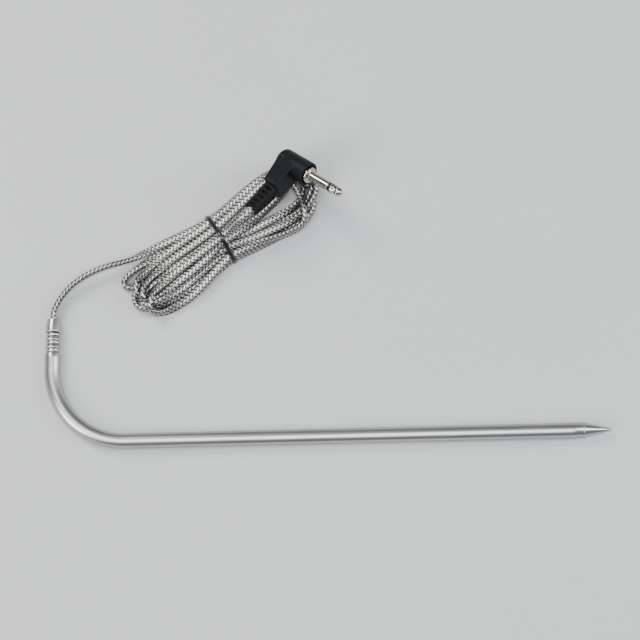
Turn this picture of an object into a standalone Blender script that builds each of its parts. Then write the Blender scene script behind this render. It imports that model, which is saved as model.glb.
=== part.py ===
"""Grill thermometer probe: J-bent steel probe, braided cable in a tied hank, right-angle plug.

The straight tube lies along X with its point at +X, the bend and the crimped leg lie in the
XY plane, and everything stands on z = 0. The origin is under the centre of the steel probe.
All sizes are in metres.
"""

import math

import bmesh
import bpy
from mathutils import Matrix, Vector

MM = 0.001

# Steel probe
TUBE_RADIUS = 2.0 * MM
TUBE_WALL = 0.35 * MM
STRAIGHT_LENGTH = 122.0 * MM
CONE_LENGTH = 8.0 * MM
BEND_RADIUS = 19.5 * MM
BEND_ANGLE = math.radians(91.5)
BEND_STEPS = 16
LEG_LENGTH = 4.1 * MM
AXIS_HEIGHT = TUBE_RADIUS

# Rolled crimp at the end of the leg
CRIMP_UNITS = 3
CRIMP_PITCH = 2.15 * MM
CRIMP_LENGTH = 5.8 * MM
CRIMP_GROOVE_RADIUS = 1.45 * MM
CRIMP_LOW_RADIUS = 1.70 * MM
CRIMP_NOTCH_RADIUS = 1.60 * MM
CRIMP_HIGH_RADIUS = 1.86 * MM
CRIMP_BORE_RADIUS = 1.20 * MM

# Steel cone at the cable exit
FERRULE_LENGTH = 3.7 * MM
FERRULE_BASE_RADIUS = 2.0 * MM
FERRULE_MOUTH_RADIUS = 1.55 * MM
FERRULE_BORE_RADIUS = 1.10 * MM

# Point
POINT_RADIUS = 0.12 * MM
SPIGOT_RADIUS = 1.55 * MM
SPIGOT_LENGTH = 3.0 * MM
WELD_GAP = 0.05 * MM

# Sensing bead and its wiring, distances measured back from the tube's front end
POTTING_FRONT = 3.3 * MM
POTTING_LENGTH = 4.2 * MM
POTTING_FLOOR = 0.8 * MM
POTTING_BORE_RADIUS = 1.10 * MM
BEAD_RADIUS = 0.80 * MM
BEAD_FRONT = 4.5 * MM
BEAD_LENGTH = 2.4 * MM
LEAD_RADIUS = 0.10 * MM
LEAD_LENGTH = 8.0 * MM
SPLICE_RADIUS = 0.36 * MM
SPLICE_LENGTH = 4.0 * MM
SLEEVE_RADIUS = 1.40 * MM
SLEEVE_WALL = 0.15 * MM
SLEEVE_MARGIN = 1.5 * MM
PAIR_OFFSET = 0.46 * MM
INSULATION_RADIUS = 0.42 * MM
INSULATION_BORE = 0.22 * MM
CORE_RADIUS = 0.15 * MM
STRIP_LENGTH = 1.0 * MM
COLLAR_OUTER_RADIUS = 1.12 * MM
COLLAR_INNER_RADIUS = 0.96 * MM
TOUCH_GAP = 0.3 * MM

# Cable and hank
CORD_RADIUS = 1.0 * MM
CORD_POINT_SPACING = 4.5 * MM
HANK_CENTRE = Vector((-28.3, 38.3, 0.0)) * MM
HANK_HEADING = math.radians(30.0)
HANK_BOTTOM = 0.05 * MM
HANK_TOP = 6.3 * MM
HANK_EDGE = 1.2 * MM
HANK_OUTLINE = [
    (-28.6, 1.5), (-26.8, 6.3), (-20.5, 7.6), (-8.0, 7.5), (0.6, 6.8), (7.0, 8.2),
    (15.0, 10.2), (23.5, 10.4), (29.8, 5.0), (30.6, -3.0), (26.3, -8.4), (18.0, -8.9),
    (8.0, -7.5), (0.6, -6.8), (-9.0, -8.4), (-19.0, -10.3), (-25.5, -8.6), (-28.4, -4.0),
]
TIE_STATION = 0.6 * MM
TIE_WIRE_RADIUS = 0.6 * MM
TIE_CLEARANCE = 0.4 * MM
TIE_HALF_WIDTH = 6.6 * MM
TIE_LOW = 0.65 * MM
TIE_HIGH = 6.1 * MM
TIE_CORNER = 1.8 * MM
TIE_CORNER_STEPS = 4

# Where the plug lies: its elbow, and the directions of the jack and of the cable arm
ELBOW = Vector((-7.57, 56.37, 11.4)) * MM
JACK_HEADING = math.radians(-38.6)
JACK_RISE = math.radians(23.8)
ARM_HEADING = math.radians(-132.9)
ARM_RISE = math.radians(9.7)

# Plug, in its own axes: jack along Z, cable arm along X, elbow at the origin
BARREL_RADIUS = 3.35 * MM
BARREL_FRONT = 5.5 * MM
BARREL_BACK = -4.6 * MM
BARREL_ROUND = 1.2 * MM
BARREL_BORE = 2.6 * MM
BARREL_FLOOR = -3.4 * MM
ARM_END = 9.2 * MM
ARM_HALF_WIDTH = 3.2 * MM
ARM_FRONT = 2.2 * MM
ARM_BACK_AT_BARREL = 4.3 * MM
ARM_BACK_AT_END = 2.1 * MM
ARM_EDGE = 0.6 * MM
ARM_CAVITY_HALF = 1.75 * MM
RELIEF_END = 17.4 * MM
RELIEF_BASE_RADIUS = 2.45 * MM
RELIEF_TIP_RADIUS = 2.15 * MM
RELIEF_BORE = 1.35 * MM
RELIEF_BOSS_RADIUS = 1.70 * MM
RELIEF_BOSS_LENGTH = 1.5 * MM
SLOT_PITCH = 1.56 * MM
SLOT_COUNT = 5
SLOT_START = 0.85 * MM
SLOT_TURN = math.radians(-20.0)
SLOT_WIDTH = 0.7 * MM
SLOT_LENGTH = 2.0 * MM
SLOT_DEPTH_RADIUS = 1.70 * MM
CARRIER_RADIUS = 2.45 * MM
CARRIER_BORE = 1.75 * MM
CARRIER_LOW = 1.6 * MM
CARRIER_HIGH = 4.5 * MM
COLLAR_RADIUS = 2.32 * MM
COLLAR_LOW = 4.8 * MM
COLLAR_HIGH = 6.2 * MM
JACK_RADIUS = 1.25 * MM
JACK_BORE = 0.80 * MM
JACK_TAIL_RADIUS = 1.65 * MM
JACK_TAIL_LOW = 1.0 * MM
JACK_SLEEVE_END = 13.1 * MM
LINER_RADIUS = 0.74 * MM
LINER_BORE = 0.53 * MM
LINER_LOW = 0.4 * MM
RING_RADIUS = 1.20 * MM
RING_LENGTH = 0.55 * MM
ROD_RADIUS = 0.47 * MM
ROD_LOW = -0.6 * MM
TIP_LENGTH = 3.7 * MM
WIRE_OFFSET = 0.50 * MM
WIRE_RADIUS = 0.40 * MM

ROUND_STEPS = 32
SMALL_STEPS = 16


def clear_scene():
    """Removes whatever the file holds, so that a second run gives the same model."""
    for item in list(bpy.data.objects):
        bpy.data.objects.remove(item, do_unlink=True)
    for collection in list(bpy.data.collections):
        bpy.data.collections.remove(collection)


def new_collection(name):
    collection = bpy.data.collections.new(name)
    bpy.context.scene.collection.children.link(collection)
    return collection


def material(name, colour, roughness, metallic):
    """A Principled BSDF material that is made once and then shared."""
    found = bpy.data.materials.get(name)
    if found:
        return found
    made = bpy.data.materials.new(name)
    made.use_nodes = True
    made.diffuse_color = (*colour, 1.0)
    shader = made.node_tree.nodes["Principled BSDF"]
    shader.inputs["Base Color"].default_value = (*colour, 1.0)
    shader.inputs["Roughness"].default_value = roughness
    shader.inputs["Metallic"].default_value = metallic
    return made


def steel():
    return material("stainless_steel", (0.62, 0.62, 0.61), 0.32, 1.0)


def nickel():
    return material("nickel_plate", (0.72, 0.70, 0.66), 0.18, 1.0)


def brass():
    return material("brass", (0.78, 0.60, 0.30), 0.35, 1.0)


def copper():
    return material("tinned_copper", (0.70, 0.66, 0.62), 0.35, 1.0)


def braid():
    return material("braided_steel", (0.58, 0.57, 0.54), 0.38, 1.0)


def black_plastic():
    return material("black_plastic", (0.020, 0.021, 0.024), 0.55, 0.0)


def white_insulation():
    return material("white_insulation", (0.80, 0.78, 0.72), 0.60, 0.0)


def amber_film():
    return material("amber_film", (0.55, 0.28, 0.05), 0.30, 0.0)


def grey_cement():
    return material("grey_cement", (0.52, 0.52, 0.50), 0.80, 0.0)


def bead_glass():
    return material("bead_glass", (0.30, 0.12, 0.08), 0.10, 0.0)


def add_object(name, data, finish, collection, parent=None):
    """Links data as a named object with its material, in its parent's axes."""
    item = bpy.data.objects.new(name, data)
    collection.objects.link(item)
    if finish:
        data.materials.append(finish)
    if parent:
        item.parent = parent
    return item


def make_cutter(item):
    item.hide_render = True
    item.display_type = "WIRE"
    return item


def boolean(item, cutter, operation):
    modifier = item.modifiers.new(operation.lower(), "BOOLEAN")
    modifier.operation = operation
    modifier.solver = "EXACT"
    modifier.object = cutter


def turned(name, profile, finish, collection, parent=None, steps=ROUND_STEPS, ring=False):
    """A turned solid about Z. The profile is (radius, z) down the outer side."""
    mesh = bpy.data.meshes.new(name)
    edges = [(i, i + 1) for i in range(len(profile) - 1)]
    if ring:
        edges.append((len(profile) - 1, 0))
    mesh.from_pydata([(radius, 0.0, z) for radius, z in profile], edges, [])
    item = add_object(name, mesh, finish, collection, parent)
    screw = item.modifiers.new("turn", "SCREW")
    screw.axis = "Z"
    screw.steps = steps
    screw.render_steps = steps
    screw.use_merge_vertices = True
    screw.merge_threshold = 1e-6
    screw.use_smooth_shade = True
    return item


def ring_profile(outer, inner, low, high):
    return [(outer, high), (outer, low), (inner, low), (inner, high)]


def rod_profile(radius, low, high):
    return [(0.0, high), (radius, high), (radius, low), (0.0, low)]


def along_x(item, x, y=0.0, z=0.0):
    """Turns an object's Z axis to +X and puts its origin at (x, y, z)."""
    item.rotation_euler = (0.0, math.pi / 2.0, 0.0)
    item.location = (x, y, z)
    return item


def wire(name, points, radius, finish, collection, parent=None, bevel_resolution=2, cyclic=False):
    """A round wire on a poly line. A point may carry its own radius as a fourth number."""
    curve = bpy.data.curves.new(name, "CURVE")
    curve.dimensions = "3D"
    curve.bevel_depth = radius
    curve.bevel_resolution = bevel_resolution
    curve.use_fill_caps = not cyclic
    spline = curve.splines.new("POLY")
    spline.points.add(len(points) - 1)
    for spline_point, point in zip(spline.points, points):
        spline_point.co = (point[0], point[1], point[2], 1.0)
        spline_point.radius = point[3] / radius if len(point) > 3 else 1.0
    spline.use_cyclic_u = cyclic
    return add_object(name, curve, finish, collection, parent)


def as_mesh(item):
    """The same object as a mesh with its caps welded on."""
    name = item.name
    bpy.context.view_layer.update()
    graph = bpy.context.evaluated_depsgraph_get()
    mesh = bpy.data.meshes.new_from_object(item.evaluated_get(graph))
    work = bmesh.new()
    work.from_mesh(mesh)
    bmesh.ops.remove_doubles(work, verts=work.verts, dist=1e-7)
    work.to_mesh(mesh)
    work.free()
    collection = item.users_collection[0]
    parent = item.parent
    place = item.matrix_basis.copy()
    bpy.data.objects.remove(item, do_unlink=True)
    made = bpy.data.objects.new(name, mesh)
    collection.objects.link(made)
    made.parent = parent
    made.matrix_basis = place
    mesh.shade_smooth()
    return made


def box(name, low, high, finish, collection, parent=None, edge=0.0):
    """A block between two corners, with its edges rounded by edge."""
    mesh = bpy.data.meshes.new(name)
    work = bmesh.new()
    size = [b - a for a, b in zip(low, high)]
    middle = [(a + b) / 2.0 for a, b in zip(low, high)]
    bmesh.ops.create_cube(work, size=1.0, matrix=Matrix.Diagonal((*size, 1.0)))
    work.to_mesh(mesh)
    work.free()
    item = add_object(name, mesh, finish, collection, parent)
    item.location = middle
    if edge:
        bevel = item.modifiers.new("edges", "BEVEL")
        bevel.width = edge
        bevel.segments = 2
        bevel.limit_method = "ANGLE"
    return item


def bend_centre():
    """The bend's centre, placed so that the probe's box is centred on the origin."""
    x = (BEND_RADIUS + TUBE_RADIUS - STRAIGHT_LENGTH - CONE_LENGTH) / 2.0
    over = BEND_ANGLE - math.pi / 2.0
    leg_rise = BEND_RADIUS * math.sin(over)
    leg_rise += (LEG_LENGTH + CRIMP_LENGTH + FERRULE_LENGTH) * math.cos(over)
    y = (BEND_RADIUS + TUBE_RADIUS - leg_rise) / 2.0
    return Vector((x, y, AXIS_HEIGHT))


def bend_point(turn):
    """A point of the tube's centre line after turning by this angle from the straight."""
    away = Vector((-math.sin(turn), -math.cos(turn), 0.0))
    return bend_centre() + BEND_RADIUS * away


def leg_direction():
    return Vector((-math.cos(BEND_ANGLE), math.sin(BEND_ANGLE), 0.0))


def leg_point(distance):
    """A point on the leg's centre line, measured from the end of the bend."""
    return bend_point(BEND_ANGLE) + distance * leg_direction()


def j_path(front, leg_end, lift=0.0):
    """The J from this distance behind the tube's front end to this distance up the leg."""
    up = Vector((0.0, 0.0, lift))
    start = bend_point(0.0) + Vector((STRAIGHT_LENGTH - front, 0.0, 0.0))
    points = [start + up]
    points += [bend_point(BEND_ANGLE * i / BEND_STEPS) + up for i in range(BEND_STEPS + 1)]
    points.append(leg_point(leg_end) + up)
    return points


def crimp_stations():
    """Distance from the start of the crimp and outer radius of the rolled rings."""
    stations = [(0.0, TUBE_RADIUS)]
    for unit in range(CRIMP_UNITS):
        base = unit * CRIMP_PITCH
        stations.append((base + 0.25 * MM, CRIMP_GROOVE_RADIUS))
        stations.append((base + 0.50 * MM, CRIMP_LOW_RADIUS))
        stations.append((base + 1.10 * MM, CRIMP_LOW_RADIUS))
        if unit < CRIMP_UNITS - 1:
            stations.append((base + 1.30 * MM, CRIMP_NOTCH_RADIUS))
            stations.append((base + 1.50 * MM, CRIMP_HIGH_RADIUS))
            stations.append((base + 1.95 * MM, CRIMP_HIGH_RADIUS))
    stations.append((CRIMP_LENGTH - 0.2 * MM, CRIMP_GROOVE_RADIUS))
    stations.append((CRIMP_LENGTH, CRIMP_GROOVE_RADIUS))
    return stations


def probe_tube(parts, cutters):
    outer = [(*point, TUBE_RADIUS) for point in j_path(0.0, LEG_LENGTH)[:-1]]
    for distance, radius in crimp_stations():
        outer.append((*leg_point(LEG_LENGTH + distance), radius))
    tube = as_mesh(wire("probe_tube", outer, TUBE_RADIUS, steel(), parts, bevel_resolution=10))
    bore = TUBE_RADIUS - TUBE_WALL
    inner = [(*point, bore) for point in j_path(-1.0 * MM, 0.0)[:-1]]
    inner.append((*leg_point(LEG_LENGTH - 1.2 * MM), bore))
    inner.append((*leg_point(LEG_LENGTH - 0.2 * MM), CRIMP_BORE_RADIUS))
    inner.append((*leg_point(LEG_LENGTH + CRIMP_LENGTH + 1.0 * MM), CRIMP_BORE_RADIUS))
    cutter = as_mesh(wire("probe_bore", inner, bore, None, cutters, bevel_resolution=6))
    boolean(tube, make_cutter(cutter), "DIFFERENCE")


def tube_front():
    return bend_point(0.0) + Vector((STRAIGHT_LENGTH, 0.0, 0.0))


def probe_tip(parts):
    profile = [
        (0.0, CONE_LENGTH),
        (POINT_RADIUS, CONE_LENGTH - 0.1 * MM),
        (TUBE_RADIUS * 0.62, CONE_LENGTH * 0.42),
        (TUBE_RADIUS, WELD_GAP),
        (SPIGOT_RADIUS, WELD_GAP),
        (SPIGOT_RADIUS, -SPIGOT_LENGTH),
        (0.0, -SPIGOT_LENGTH),
    ]
    along_x(turned("probe_tip", profile, steel(), parts), *tube_front())


def bead_potting(parts):
    front = -POTTING_FRONT
    back = front - POTTING_LENGTH
    floor = front - POTTING_FLOOR
    profile = [
        (0.0, front),
        (SPIGOT_RADIUS, front),
        (SPIGOT_RADIUS, back),
        (POTTING_BORE_RADIUS, back),
        (POTTING_BORE_RADIUS, floor),
        (0.0, floor),
    ]
    along_x(turned("bead_potting", profile, grey_cement(), parts, steps=24), *tube_front())


def thermistor_bead(parts):
    """A glass bead with a round nose and a round back."""
    middle = BEAD_LENGTH / 2.0 - BEAD_RADIUS
    profile = []
    for i in range(9):
        angle = math.pi / 2.0 - math.pi * i / 8.0
        shift = middle if angle > 0.0 else -middle
        profile.append((BEAD_RADIUS * math.cos(angle), BEAD_RADIUS * math.sin(angle) + shift))
    profile[0] = (0.0, profile[0][1])
    profile[-1] = (0.0, profile[-1][1])
    bead = turned("thermistor_bead", profile, bead_glass(), parts, steps=SMALL_STEPS)
    front = tube_front()
    along_x(bead, front.x - BEAD_FRONT - BEAD_LENGTH / 2.0, front.y, front.z)


def thermistor_wiring(parts):
    """For each of the two poles: bead lead, splice, core wire and insulation."""
    front = tube_front()
    lead_front = front.x - BEAD_FRONT - BEAD_LENGTH - 0.1 * MM
    splice_front = lead_front - LEAD_LENGTH - 0.1 * MM
    splice_back = splice_front - SPLICE_LENGTH
    core_front = front.x - splice_back + 0.1 * MM
    mouth = LEG_LENGTH + CRIMP_LENGTH + FERRULE_LENGTH - 0.2 * MM
    for pole, side in (("a", 1.0), ("b", -1.0)):
        lift = side * PAIR_OFFSET
        near = front.z + side * 0.3 * MM
        lead = [
            (lead_front, front.y, near),
            (lead_front - 2.0 * MM, front.y, near),
            (splice_front + 1.0 * MM, front.y, front.z + lift),
            (splice_front + 0.1 * MM, front.y, front.z + lift),
        ]
        wire(f"thermistor_lead_{pole}", lead, LEAD_RADIUS, copper(), parts, bevel_resolution=1)
        splice = turned(
            f"splice_{pole}", rod_profile(SPLICE_RADIUS, -SPLICE_LENGTH, 0.0), copper(), parts,
            steps=12,
        )
        along_x(splice, splice_front, front.y, front.z + lift)
        core = j_path(core_front, mouth, lift)
        wire(f"core_wire_{pole}", core, CORE_RADIUS, copper(), parts, bevel_resolution=1)
    return core_front


def insulation(parts, cutters, core_front):
    mouth = LEG_LENGTH + CRIMP_LENGTH + FERRULE_LENGTH - 0.8 * MM
    front = core_front + STRIP_LENGTH
    for pole, side in (("a", 1.0), ("b", -1.0)):
        lift = side * PAIR_OFFSET
        name = f"insulation_{pole}"
        outer = wire(name, j_path(front, mouth, lift), INSULATION_RADIUS, white_insulation(), parts)
        tube = as_mesh(outer)
        through = j_path(front - 1.0 * MM, mouth + 1.0 * MM, lift)
        bore = wire(f"{name}_bore", through, INSULATION_BORE, None, cutters, bevel_resolution=1)
        boolean(tube, make_cutter(as_mesh(bore)), "DIFFERENCE")


def splice_sleeve(parts):
    """A film sleeve over both splices, open at both ends."""
    length = SPLICE_LENGTH + 2.0 * SLEEVE_MARGIN
    profile = ring_profile(SLEEVE_RADIUS, SLEEVE_RADIUS - SLEEVE_WALL, -length, 0.0)
    sleeve = turned("splice_sleeve", profile, amber_film(), parts, steps=24, ring=True)
    front = tube_front()
    start = front.x - BEAD_FRONT - BEAD_LENGTH - LEAD_LENGTH - 0.2 * MM + SLEEVE_MARGIN
    along_x(sleeve, start, front.y, front.z)


def along_leg(item, distance):
    """Turns an object's Z axis to the leg and puts its origin this far up the leg."""
    item.rotation_mode = "QUATERNION"
    item.rotation_quaternion = leg_direction().to_track_quat("Z", "Y")
    item.location = leg_point(distance)
    return item


def braid_collar(parts):
    """The collar under the rolled rings that clamps the end of the braid."""
    high = CRIMP_LENGTH - 0.5 * MM
    profile = ring_profile(COLLAR_OUTER_RADIUS, COLLAR_INNER_RADIUS, 0.3 * MM, high)
    collar = turned("braid_collar", profile, brass(), parts, steps=24, ring=True)
    along_leg(collar, LEG_LENGTH)


def cable_ferrule(parts):
    low = WELD_GAP
    profile = [
        (FERRULE_BORE_RADIUS + 0.15 * MM, FERRULE_LENGTH),
        (FERRULE_MOUTH_RADIUS - 0.1 * MM, FERRULE_LENGTH),
        (FERRULE_MOUTH_RADIUS, FERRULE_LENGTH - 0.1 * MM),
        (FERRULE_BASE_RADIUS, 0.35 * MM),
        (FERRULE_BASE_RADIUS - 0.15 * MM, low),
        (FERRULE_BORE_RADIUS, low),
        (FERRULE_BORE_RADIUS, FERRULE_LENGTH - 0.2 * MM),
    ]
    ferrule = turned("cable_ferrule", profile, steel(), parts, ring=True)
    along_leg(ferrule, LEG_LENGTH + CRIMP_LENGTH)


def smooth_route(points, spacing):
    """Points at about this spacing on a Catmull-Rom curve through the route's points."""
    ends = [2.0 * points[0] - points[1], *points, 2.0 * points[-1] - points[-2]]
    route = [points[0]]
    for before, start, end, after in zip(ends, ends[1:], ends[2:], ends[3:]):
        steps = max(1, round((end - start).length / spacing))
        for i in range(1, steps + 1):
            t = i / steps
            square = t * t
            cube = square * t
            route.append(
                0.5
                * (
                    2.0 * start
                    + (end - before) * t
                    + (2.0 * before - 5.0 * start + 4.0 * end - after) * square
                    + (3.0 * start - 3.0 * end + after - before) * cube
                )
            )
    return route


def cord_lead(parts):
    """The free cable from the ferrule to the near end of the hank."""
    mouth = leg_point(LEG_LENGTH + CRIMP_LENGTH + FERRULE_LENGTH + TOUCH_GAP)
    route = [mouth, mouth + 1.6 * MM * leg_direction()]
    for x, y, z in (
        (-71.9, 22.7, 2.3), (-68.7, 26.5, 2.8), (-64.3, 29.5, 3.2), (-59.9, 31.4, 3.3),
        (-55.4, 32.7, 3.3),
    ):
        route.append(Vector((x, y, z)) * MM)
    points = smooth_route(route, CORD_POINT_SPACING)
    wire("cord_lead", points, CORD_RADIUS, braid(), parts)


def hank_matrix():
    """Axes of the hank: X along its length, Y across it, from the middle of its waist."""
    return Matrix.Translation(HANK_CENTRE) @ Matrix.Rotation(HANK_HEADING, 4, "Z")


def tie_path():
    """The tie's closed loop round the waist, in the hank's axes."""
    low = TIE_LOW + TIE_CORNER
    high = TIE_HIGH - TIE_CORNER
    side = TIE_HALF_WIDTH - TIE_CORNER
    corners = ((side, high, 0.0), (-side, high, 90.0), (-side, low, 180.0), (side, low, 270.0))
    points = []
    for y, z, start in corners:
        for i in range(TIE_CORNER_STEPS + 1):
            angle = math.radians(start + 90.0 * i / TIE_CORNER_STEPS)
            offset = Vector((0.0, math.cos(angle), math.sin(angle))) * TIE_CORNER
            points.append(Vector((TIE_STATION, y, z)) + offset)
    return points


def cord_hank(parts, cutters):
    """The wound cable's outer shape, with a groove for the tie."""
    curve = bpy.data.curves.new("cord_hank", "CURVE")
    curve.dimensions = "2D"
    curve.fill_mode = "BOTH"
    curve.resolution_u = 3
    curve.extrude = (HANK_TOP - HANK_BOTTOM) / 2.0 - HANK_EDGE
    curve.bevel_depth = HANK_EDGE
    curve.bevel_resolution = 1
    curve.offset = -HANK_EDGE
    spline = curve.splines.new("BEZIER")
    spline.bezier_points.add(len(HANK_OUTLINE) - 1)
    for bezier_point, (along, across) in zip(spline.bezier_points, HANK_OUTLINE):
        bezier_point.co = (along * MM, across * MM, 0.0)
        bezier_point.handle_left_type = "AUTO"
        bezier_point.handle_right_type = "AUTO"
    spline.use_cyclic_u = True
    hank = add_object("cord_hank", curve, braid(), parts)
    middle = Matrix.Translation((0.0, 0.0, (HANK_TOP + HANK_BOTTOM) / 2.0))
    hank.matrix_basis = hank_matrix() @ middle
    hank = as_mesh(hank)
    groove_radius = TIE_WIRE_RADIUS + TIE_CLEARANCE
    groove = wire("tie_groove", tie_path(), groove_radius, None, cutters, cyclic=True)
    groove.matrix_basis = hank_matrix()
    boolean(hank, make_cutter(as_mesh(groove)), "DIFFERENCE")


def hank_tie(parts):
    tie = wire("hank_tie", tie_path(), TIE_WIRE_RADIUS, black_plastic(), parts, cyclic=True)
    tie.matrix_basis = hank_matrix()


def jack_direction():
    level = math.cos(JACK_RISE)
    return Vector(
        (level * math.cos(JACK_HEADING), level * math.sin(JACK_HEADING), math.sin(JACK_RISE))
    )


def arm_direction():
    """The cable arm's direction, made square to the jack."""
    level = math.cos(ARM_RISE)
    rough = Vector(
        (level * math.cos(ARM_HEADING), level * math.sin(ARM_HEADING), math.sin(ARM_RISE))
    )
    jack = jack_direction()
    return (rough - rough.dot(jack) * jack).normalized()


def plug_frame(parts):
    """An empty at the plug's elbow that carries the plug's axes."""
    frame = bpy.data.objects.new("plug_frame", None)
    parts.objects.link(frame)
    jack = jack_direction()
    arm = arm_direction()
    side = jack.cross(arm)
    axes = Matrix((arm, side, jack)).transposed().to_4x4()
    frame.matrix_world = Matrix.Translation(ELBOW) @ axes
    return frame


def cord_tail(parts):
    """The free cable from the strain relief down to the waist of the hank."""
    arm = arm_direction()
    mouth = ELBOW + (RELIEF_END + TOUCH_GAP) * arm
    route = [mouth, mouth + 1.4 * MM * arm]
    for x, y, z in ((-22.5, 41.4, 13.6), (-24.6, 40.5, 11.2), (-26.1, 39.9, 8.2)):
        route.append(Vector((x, y, z)) * MM)
    points = smooth_route(route, CORD_POINT_SPACING / 2.0)
    wire("cord_tail", points, CORD_RADIUS, braid(), parts)


def barrel_profile(radius, back, front, rounding):
    """A solid barrel with a small front edge and a rounded back."""
    profile = [(0.0, front), (radius - 0.25 * MM, front), (radius, front - 0.25 * MM)]
    steps = 4
    for i in range(steps + 1):
        angle = math.pi / 2.0 * i / steps
        profile.append(
            (
                radius - rounding + rounding * math.cos(angle),
                back + rounding - rounding * math.sin(angle),
            )
        )
    profile.append((0.0, back))
    return profile


def plug_housing(parts, cutters, frame):
    """The moulded cover: barrel and cable arm, hollow, open at the jack and at the cable.

    The arm is as deep as the barrel where they meet, and its back slopes in towards the cable."""
    outer = barrel_profile(BARREL_RADIUS, BARREL_BACK, BARREL_FRONT, BARREL_ROUND)
    housing = turned("plug_housing", outer, black_plastic(), parts, frame)
    low = (0.0, -ARM_HALF_WIDTH, -ARM_BACK_AT_BARREL)
    high = (ARM_END, ARM_HALF_WIDTH, ARM_FRONT)
    arm = box("arm_block", low, high, None, cutters, frame, ARM_EDGE)
    for vertex in arm.data.vertices:
        if vertex.co.x > 0.0 and vertex.co.z < 0.0:
            vertex.co.z += ARM_BACK_AT_BARREL - ARM_BACK_AT_END
    boolean(housing, make_cutter(arm), "UNION")
    bore_profile = rod_profile(BARREL_BORE, BARREL_FLOOR, BARREL_FRONT + 1.0 * MM)
    bore = turned("barrel_bore", bore_profile, None, cutters, frame)
    boolean(housing, make_cutter(bore), "DIFFERENCE")
    half = ARM_CAVITY_HALF
    cavity = box("arm_cavity", (0.0, -half, -half), (ARM_END + MM, half, half), None, cutters, frame)
    boolean(housing, make_cutter(cavity), "DIFFERENCE")


def cut_slot(relief, name, low, high, cutters, frame):
    """Takes one slot out of the relief; all its rows are turned a little about the arm."""
    slot = box(name, low, high, None, cutters, frame)
    slot.matrix_basis = Matrix.Rotation(SLOT_TURN, 4, "X") @ slot.matrix_basis
    boolean(relief, make_cutter(slot), "DIFFERENCE")


def strain_relief(parts, cutters, frame):
    """A tapering sleeve, slotted on two sides, and between them half a pitch further."""
    base = ARM_END + WELD_GAP
    profile = [
        (RELIEF_BORE, RELIEF_END),
        (RELIEF_TIP_RADIUS - 0.3 * MM, RELIEF_END),
        (RELIEF_TIP_RADIUS, RELIEF_END - 0.3 * MM),
        (RELIEF_BASE_RADIUS, base),
        (RELIEF_BOSS_RADIUS, base),
        (RELIEF_BOSS_RADIUS, base - RELIEF_BOSS_LENGTH),
        (RELIEF_BORE, base - RELIEF_BOSS_LENGTH),
    ]
    relief = turned("strain_relief", profile, black_plastic(), parts, frame, 24, ring=True)
    along_x(relief, 0.0)
    reach = RELIEF_BASE_RADIUS + MM
    half = SLOT_LENGTH / 2.0
    for side in (1.0, -1.0):
        near, far = sorted((side * SLOT_DEPTH_RADIUS, side * reach))
        for i in range(SLOT_COUNT):
            x = base + SLOT_START + i * SLOT_PITCH
            low = (x, near, -half)
            high = (x + SLOT_WIDTH, far, half)
            cut_slot(relief, f"slot_{i}_{side:+.0f}_y", low, high, cutters, frame)
        for i in range(SLOT_COUNT - 1):
            x = base + SLOT_START + (i + 0.5) * SLOT_PITCH
            low = (x, -half, near)
            high = (x + SLOT_WIDTH, half, far)
            cut_slot(relief, f"slot_{i}_{side:+.0f}_z", low, high, cutters, frame)


def contact_carrier(parts, frame):
    profile = ring_profile(CARRIER_RADIUS, CARRIER_BORE, CARRIER_LOW, CARRIER_HIGH)
    turned("contact_carrier", profile, black_plastic(), parts, frame, 24, ring=True)


def jack_sleeve(parts, frame):
    """Collar and sleeve contact in one turned piece, with its tail inside the plug."""
    edge = 0.15 * MM
    profile = [
        (JACK_BORE, JACK_SLEEVE_END),
        (JACK_RADIUS - edge, JACK_SLEEVE_END),
        (JACK_RADIUS, JACK_SLEEVE_END - edge),
        (JACK_RADIUS, COLLAR_HIGH),
        (COLLAR_RADIUS - edge, COLLAR_HIGH),
        (COLLAR_RADIUS, COLLAR_HIGH - edge),
        (COLLAR_RADIUS, COLLAR_LOW),
        (JACK_TAIL_RADIUS, COLLAR_LOW),
        (JACK_TAIL_RADIUS, JACK_TAIL_LOW),
        (JACK_BORE, JACK_TAIL_LOW),
    ]
    turned("jack_sleeve", profile, nickel(), parts, frame, 24, ring=True)


def tip_insulator(parts, frame):
    """The visible ring in front of the sleeve and the liner that runs back through it."""
    ring_low = JACK_SLEEVE_END + WELD_GAP
    ring_high = ring_low + RING_LENGTH
    profile = [
        (LINER_BORE, ring_high),
        (RING_RADIUS, ring_high),
        (RING_RADIUS, ring_low),
        (LINER_RADIUS, ring_low),
        (LINER_RADIUS, LINER_LOW),
        (LINER_BORE, LINER_LOW),
    ]
    turned("tip_insulator", profile, black_plastic(), parts, frame, 24, ring=True)


def jack_tip(parts, frame):
    """Tip contact: shoulder, neck and pointed head, with the rod back to its lug."""
    low = JACK_SLEEVE_END + WELD_GAP + RING_LENGTH + WELD_GAP
    shoulder = JACK_RADIUS - 0.03 * MM
    profile = [
        (0.0, low + TIP_LENGTH),
        (0.40 * MM, low + TIP_LENGTH),
        (0.60 * MM, low + TIP_LENGTH - 0.12 * MM),
        (shoulder, low + TIP_LENGTH - 0.9 * MM),
        (shoulder, low + TIP_LENGTH - 1.3 * MM),
        (1.0 * MM, low + TIP_LENGTH - 1.7 * MM),
        (1.0 * MM, low + TIP_LENGTH - 1.9 * MM),
        (shoulder, low + TIP_LENGTH - 2.2 * MM),
        (shoulder, low),
        (ROD_RADIUS, low),
        (ROD_RADIUS, ROD_LOW),
        (0.0, ROD_LOW),
    ]
    turned("jack_tip", profile, nickel(), parts, frame, 24)


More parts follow.
